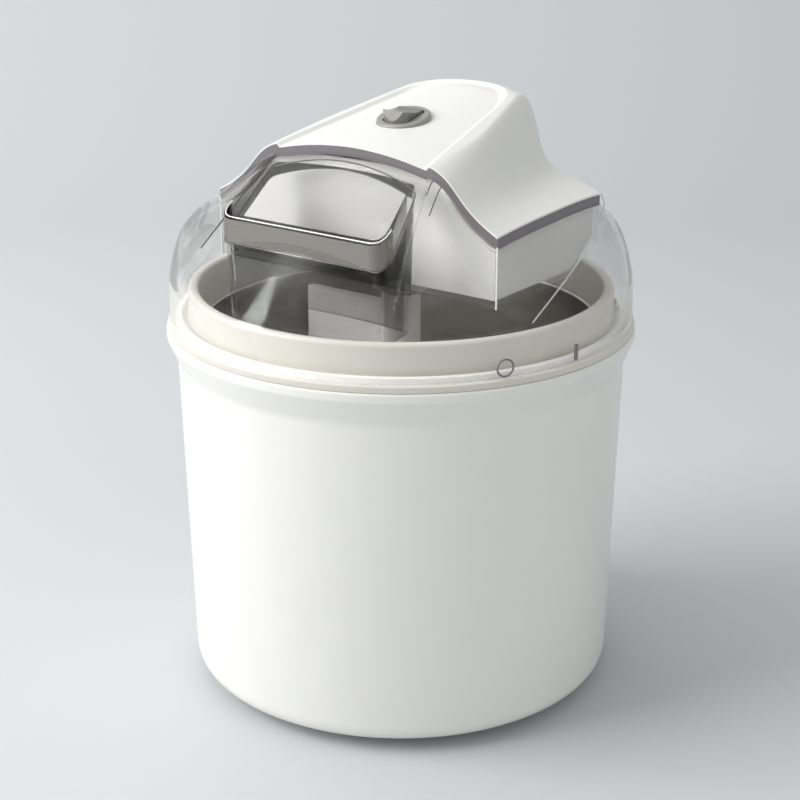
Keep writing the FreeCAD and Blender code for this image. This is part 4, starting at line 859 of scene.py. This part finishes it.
def chute_outline(inset=0.0, bow=2.6, steps=8):
    """The chute's outline seen from above, with round corners and an arched back."""
    front, back = CHUTE_FRONT + inset, CHUTE_BACK - inset
    half, half_back = CHUTE_HALF - inset, CHUTE_BACK_HALF - inset
    corners = [
        (-half, front, 6.5 - inset), (half, front, 6.5 - inset), (half_back, back - bow, 3.0),
    ]
    across = np.linspace(half_back * 0.8, -half_back * 0.8, 13)
    arch = [(x, back - bow * (x / half_back) ** 2, 0) for x in across]
    return rounded(corners + arch + [(-half_back, back - bow, 3.0)], steps=steps)


def lip_height(y):
    """The sloping plane that trims the chute's top."""
    slope = (LIP_BACK - LIP_FRONT) / (-40.0 - CHUTE_FRONT)
    return LIP_FRONT + slope * (y - CHUTE_FRONT)


def prism(name, outline, low, high):
    """A closed upright prism over an outline."""
    form = bmesh.new()
    foot = [form.verts.new((p.x * MM, p.y * MM, low * MM)) for p in outline]
    head = [form.verts.new((p.x * MM, p.y * MM, high * MM)) for p in outline]
    form.faces.new(foot[::-1])
    form.faces.new(head)
    for k in range(len(outline)):
        n = (k + 1) % len(outline)
        form.faces.new((foot[k], foot[n], head[n], head[k]))
    mesh = bpy.data.meshes.new(name)
    form.to_mesh(mesh)
    form.free()
    return link(name, mesh, smooth=False)


def make_chute():
    """Tube walls between two outlines, in rows that follow the lip's plane at the top."""
    outside, inside = chute_outline(0.0), chute_outline(2.0)
    shares = np.linspace(0, 1, 12)
    draft = 2.5

    def column(p, share):
        top = max(lip_height(p.y), 205.0)
        z = CHUTE_FOOT + share * (top - CHUTE_FOOT)
        shrink = 1 - (1 - share) * draft / CHUTE_HALF
        return Vector((p.x * shrink, p.y, z))

    rows = [[column(p, s) for p in outside] for s in shares]
    rows += [[column(p, s) for p in inside] for s in shares[::-1]]
    return closed_wall("fill_chute", rows)


carve(lid, prism("chute_way", chute_outline(0.0), 180.0, 260.0))
chute = make_chute()
chute.data.materials.append(CLEAR)
stand_for(soften(lid, 25), "lid", "clear_plastic", CLEAR, "clear_lid")
stand_for(soften(chute, 30), "lid", "clear_plastic", CLEAR)
print("lid after cutting:", len(lid.data.polygons))


# %% [markdown]
# The motor unit drops into a pocket of the lid. Only the pocket's walls are made here. They follow
# the unit's outline, and their foot rises at the back to clear the bowl's rim. A dark rim lies
# between the lid and the cover.

# %% Pocket and rim
POCKET_FLOOR, POCKET_WALL = 184.3, 2.2
KNEE_Y, HEEL_Y, HEEL_Z = 26.0, 60.0, 206.6


def pocket_floor_height(y):
    rise = (HEEL_Z - POCKET_FLOOR) / (HEEL_Y - KNEE_Y)
    return POCKET_FLOOR + np.maximum(y - KNEE_Y, 0) * rise


def outline_band(name, low_of, high_of, inset_out, inset_in, rows=6):
    """A closed wall along the motor unit's outline between two height functions."""
    cosines, sines = np.cos(ANGLES), np.sin(ANGLES)
    edge = np.array([pod_reach(a) for a in ANGLES])
    low = low_of(edge * cosines, edge * sines)
    high = high_of(edge * cosines, edge * sines)
    rings = []
    for inset, order in ((inset_out, range(rows)), (inset_in, range(rows - 1, -1, -1))):
        reach = np.array([pod_reach(a, inset) for a in ANGLES])
        for r in order:
            heights = low + (high - low) * r / (rows - 1)
            rings.append(np.stack([reach * cosines, reach * sines, heights], 1))
    return closed_wall(name, rings)


pocket = outline_band("pocket_wall", lambda x, y: pocket_floor_height(y),
                      lambda x, y: lid_height(x, y) - 2.4, 0.05, POCKET_WALL)
stand_for(soften(pocket, 30), "lid", "clear_plastic", CLEAR)

rim = outline_band("lid_rim_edge", lambda x, y: lid_height(x, y) - 1.1, rim_height,
                   -0.12, POCKET_WALL, rows=3)
rim.data.materials.append(RIM_GREY)
stand_for(soften(rim, 30), "lid", "rim_grey", RIM_GREY, "lid_rim")


# %% [markdown]
# The details that catch the eye on clear plastic are its edges: the lip of the chute mirrors the room
# like metal, and moulded corners show as thin bright lines. These are painted here: the lip's reflection is
# painted on a dark metal skin, and the lines are fine round beads, white for painted highlights and black
# for painted shade. The pocket's cheeks have no plates here, only a painted highlight bead where each ends.

# %% Lip of the chute
# Painted reflection: an opaque dark grey metal skin stands in for the reflections in the clear lip.
LIP_REFLECTION_PAINT = metal("painted lip reflection", (0.27, 0.255, 0.235), roughness=0.2, spread=0.12, density=120.0)
# Painted highlight: white beads stand in for the bright lines of light along the clear edges.
HIGHLIGHT_PAINT = plastic("painted edge highlight", (0.92, 0.92, 0.91), roughness=0.15, coat=0.6)
# Painted shade: black beads stand in for the dark lines that the clear edges show.
EDGE_SHADE_PAINT = plastic("painted edge shade", (0.10, 0.09, 0.09), roughness=0.25)


# The painted lip reflection and the lip's painted highlight bead stop this far back.
LIP_SIDES = -58.0  # the sheen stops this far back


def make_lip():
    """A thin dark metal skin round the chute, from the panel up to the lip's sloping plane, with the clear
    lip's reflection painted on.
    """
    outline = [p for p in chute_outline(-0.35, steps=10) if p.y < LIP_SIDES]
    form = bmesh.new()
    low, high = [], []
    for p in outline:
        panel = float(lid_height(np.array([p.x]), np.array([p.y]))[0])
        top = max(lip_height(p.y) - 0.3, panel - 0.4)
        low.append(form.verts.new(Vector((p.x, p.y, panel - 0.5)) * MM))
        high.append(form.verts.new(Vector((p.x, p.y, top)) * MM))
    for k in range(len(outline) - 1):
        form.faces.new((low[k], low[k + 1], high[k + 1], high[k]))
    mesh = bpy.data.meshes.new("chute_lip_painted_reflection")
    form.to_mesh(mesh)
    form.free()
    return link("chute_lip_painted_reflection", mesh)


stand_for(make_lip(), "lid", "clear_plastic", LIP_REFLECTION_PAINT)


# %% Beads along the edges
def bead(name, points, radius, material, closed=False):
    """A round bead along a list of places in millimetres."""
    curve = bpy.data.curves.new(name, "CURVE")
    curve.dimensions = "3D"
    curve.bevel_depth = radius * MM
    curve.bevel_resolution = 3
    line = curve.splines.new("POLY")
    line.points.add(len(points) - 1)
    for place, p in zip(line.points, points):
        place.co = (p[0] * MM, p[1] * MM, p[2] * MM, 1)
    line.use_cyclic_u = closed
    guide = bpy.data.objects.new(name + "_path", curve)
    bpy.context.scene.collection.objects.link(guide)
    bpy.context.view_layer.update()
    mesh = bpy.data.meshes.new_from_object(guide.evaluated_get(bpy.context.evaluated_depsgraph_get()))
    bpy.data.objects.remove(guide)
    mesh.name = name
    return stand_for(link(name, mesh), "lid", "clear_plastic", material)


def on_lid(x, y, lift=0.0):
    return (x, y, float(lid_height(np.array([x]), np.array([y]))[0]) + lift)


# Painted shade: a dark bead round the panel's hole stands in for the dark line along the clear edge.
hole_edge = [on_lid(p.x, p.y, 0.1) for p in chute_outline(-0.2, steps=10)]
bead("hole_edge", hole_edge, 0.28, EDGE_SHADE_PAINT, closed=True)
# A painted highlight along the top of the lip.
top_edge = [(p.x, p.y, lip_height(p.y)) for p in chute_outline(0.5, steps=10) if p.y < LIP_SIDES]
bead("lip_edge", top_edge, 0.28, HIGHLIGHT_PAINT)


# Fine lines of painted shade where the panel steps down from the ridges beside it
def ridge_line(name, start, end, radius):
    (x, y), (x_end, y_end) = start, end
    path = [on_lid(x + (x_end - x) * t, y + (y_end - y) * t, 0.1) for t in np.linspace(0, 1, 24)]
    return bead(name, path, radius, EDGE_SHADE_PAINT)


ridge_line("ridge_left", (-38.5, -35.5), (-50.0, -70.0), 0.3)
ridge_line("ridge_right", (45.5, -35.5), (47.5, -46.0), 0.25)
ridge_line("ridge_right_short", (41.5, -35.5), (42.3, -41.0), 0.22)

# Outline of the pocket's upright cheeks, from the wing's end down to the front: (y, height)
CHEEK = [(45, 215), (47, 207), (30, 191), (-6, 172)]


def smooth_line(points, steps=20):
    places = np.arange(len(points), dtype=float)
    at = np.linspace(0, len(points) - 1, (len(points) - 1) * steps + 1)
    return list(zip(smooth_through(places, [p[0] for p in points], at),
                    smooth_through(places, [p[1] for p in points], at)))


# The corner and cheek beads are painted highlights: the thin bright lines of light on the clear pocket
# walls.
for side, word in ((1, "right"), (-1, "left")):
    corner = on_lid(side * POD_HALF, -POD_FRONT)
    bead("corner_" + word, [corner, (side * POD_HALF, -POD_FRONT, POCKET_FLOOR)], 0.4, HIGHLIGHT_PAINT)
    cheek = [(side * (POD_HALF - 0.6), y, z) for y, z in smooth_line(CHEEK)]
    bead("cheek_edge_" + word, cheek, 0.35, HIGHLIGHT_PAINT)
print("beads added")


# %% [markdown]
# Two lock marks stand on the skirt: a ring where the lid goes on, and a bar where it is locked. They
# could be painted on with a mask, but raised beads catch the light as moulded marks do.

# %% Lock marks
def on_skirt(bearing, across, up, out=0.0):
    """A place on the skirt, measured along it from a bearing."""
    angle = math.radians(bearing) + across / LID_RADIUS
    radius = LID_RADIUS + out
    return (radius * math.cos(angle), radius * math.sin(angle), up)


MARK_Z = 167.6
ring = [on_skirt(-29.8, 3.4 * math.cos(a), MARK_Z + 3.4 * math.sin(a), 0.1)
        for a in (2 * math.pi * k / 48 for k in range(48))]
bead("mark_open", ring, 0.4, RIM_GREY, closed=True)
bead("mark_locked", [on_skirt(-9.7, 0, MARK_Z + s, 0.1) for s in (-3.2, 3.2)], 0.8, RIM_GREY)

# %% [markdown]
# ## Studio
# The machine stands on a pale blue-grey sweep, lit by a large soft light from the upper left and a
# weaker one from the right, with a third light above that the clear lid can reflect.

# %% Floor
def sweep():
    """A floor that curves up into a wall far behind."""
    depth, wide, rise, bend = 1.6, 5.0, 2.6, 0.8
    profile = [(-2.2, 0.0)]
    profile += [(depth - bend + bend * math.sin(a), bend - bend * math.cos(a))
                for a in np.linspace(0, math.pi / 2, 24)]
    profile.append((depth, rise))
    rows = [[(-wide, y, z), (wide, y, z)] for y, z in profile]
    mesh = grid_mesh("sweep", rows)
    floor = link("sweep", mesh)
    floor.rotation_euler.z = CAMERA_BEARING
    material = bpy.data.materials.new("backdrop")
    material.use_nodes = True
    shader = shader_of(material)
    shader.inputs["Base Color"].default_value = (0.575, 0.59, 0.605, 1)
    shader.inputs["Roughness"].default_value = 0.75
    shader.inputs["Specular IOR Level"].default_value = 0.2
    mesh.materials.append(material)
    return floor


CAMERA_BEARING = math.radians(36.5)
sweep()


# %% Lights
def area_light(name, place, target, size, watts, colour=(1, 1, 1)):
    data = bpy.data.lights.new(name, "AREA")
    data.shape = "RECTANGLE"
    data.size, data.size_y = size
    data.energy = watts
    data.color = colour
    lamp = bpy.data.objects.new(name, data)
    bpy.context.scene.collection.objects.link(lamp)
    lamp.location = place
    lamp.rotation_euler = (Vector(target) - Vector(place)).to_track_quat("-Z", "Y").to_euler()
    return lamp


def seen_from_camera(right, back, up):
    """A place given to the right of, behind and above the machine, as the camera sees it."""
    c, s = math.cos(CAMERA_BEARING), math.sin(CAMERA_BEARING)
    return Vector((right * c - back * s, right * s + back * c, up))


CENTRE = Vector((0, 0, 0.13))
area_light("key", seen_from_camera(-1.5, -0.25, 1.05), CENTRE, (1.3, 1.3), 34, (1.0, 0.99, 0.975))
area_light("fill", seen_from_camera(1.2, -1.2, 0.7), CENTRE, (0.8, 1.4), 2.6, (1.0, 0.99, 0.96))
area_light("top", seen_from_camera(-0.5, 0.5, 1.7), CENTRE, (1.2, 1.0), 6)
world = bpy.data.worlds.new("room")
bpy.context.scene.world = world
world.use_nodes = True
world.node_tree.nodes["Background"].inputs["Color"].default_value = (0.85, 0.86, 0.86, 1)
world.node_tree.nodes["Background"].inputs["Strength"].default_value = 0.66
bpy.context.scene.view_settings.view_transform = "Standard"
print("lights:", len(bpy.data.lights))

# %% [markdown]
# ## Camera
# A long lens looks down at about twenty degrees, from in front and to the right of the chute. The
# place is given by distance, height and bearing, so that it can be turned as a whole.

# %% Camera
CAMERA_DISTANCE, CAMERA_HEIGHT = 0.71126, 0.3797
CAMERA_PITCH = math.radians(19.918)
camera_data = bpy.data.cameras.new("camera")
camera_data.sensor_width = 36.0
camera_data.lens = 77.8
camera_data.shift_x = -1.0 / 800
camera = bpy.data.objects.new("camera", camera_data)
bpy.context.scene.collection.objects.link(camera)
camera.location = seen_from_camera(0, -CAMERA_DISTANCE, CAMERA_HEIGHT)
camera.rotation_euler = (math.pi / 2 - CAMERA_PITCH, 0, CAMERA_BEARING)
bpy.context.scene.camera = camera
print("camera at", [round(c, 3) for c in camera.location])
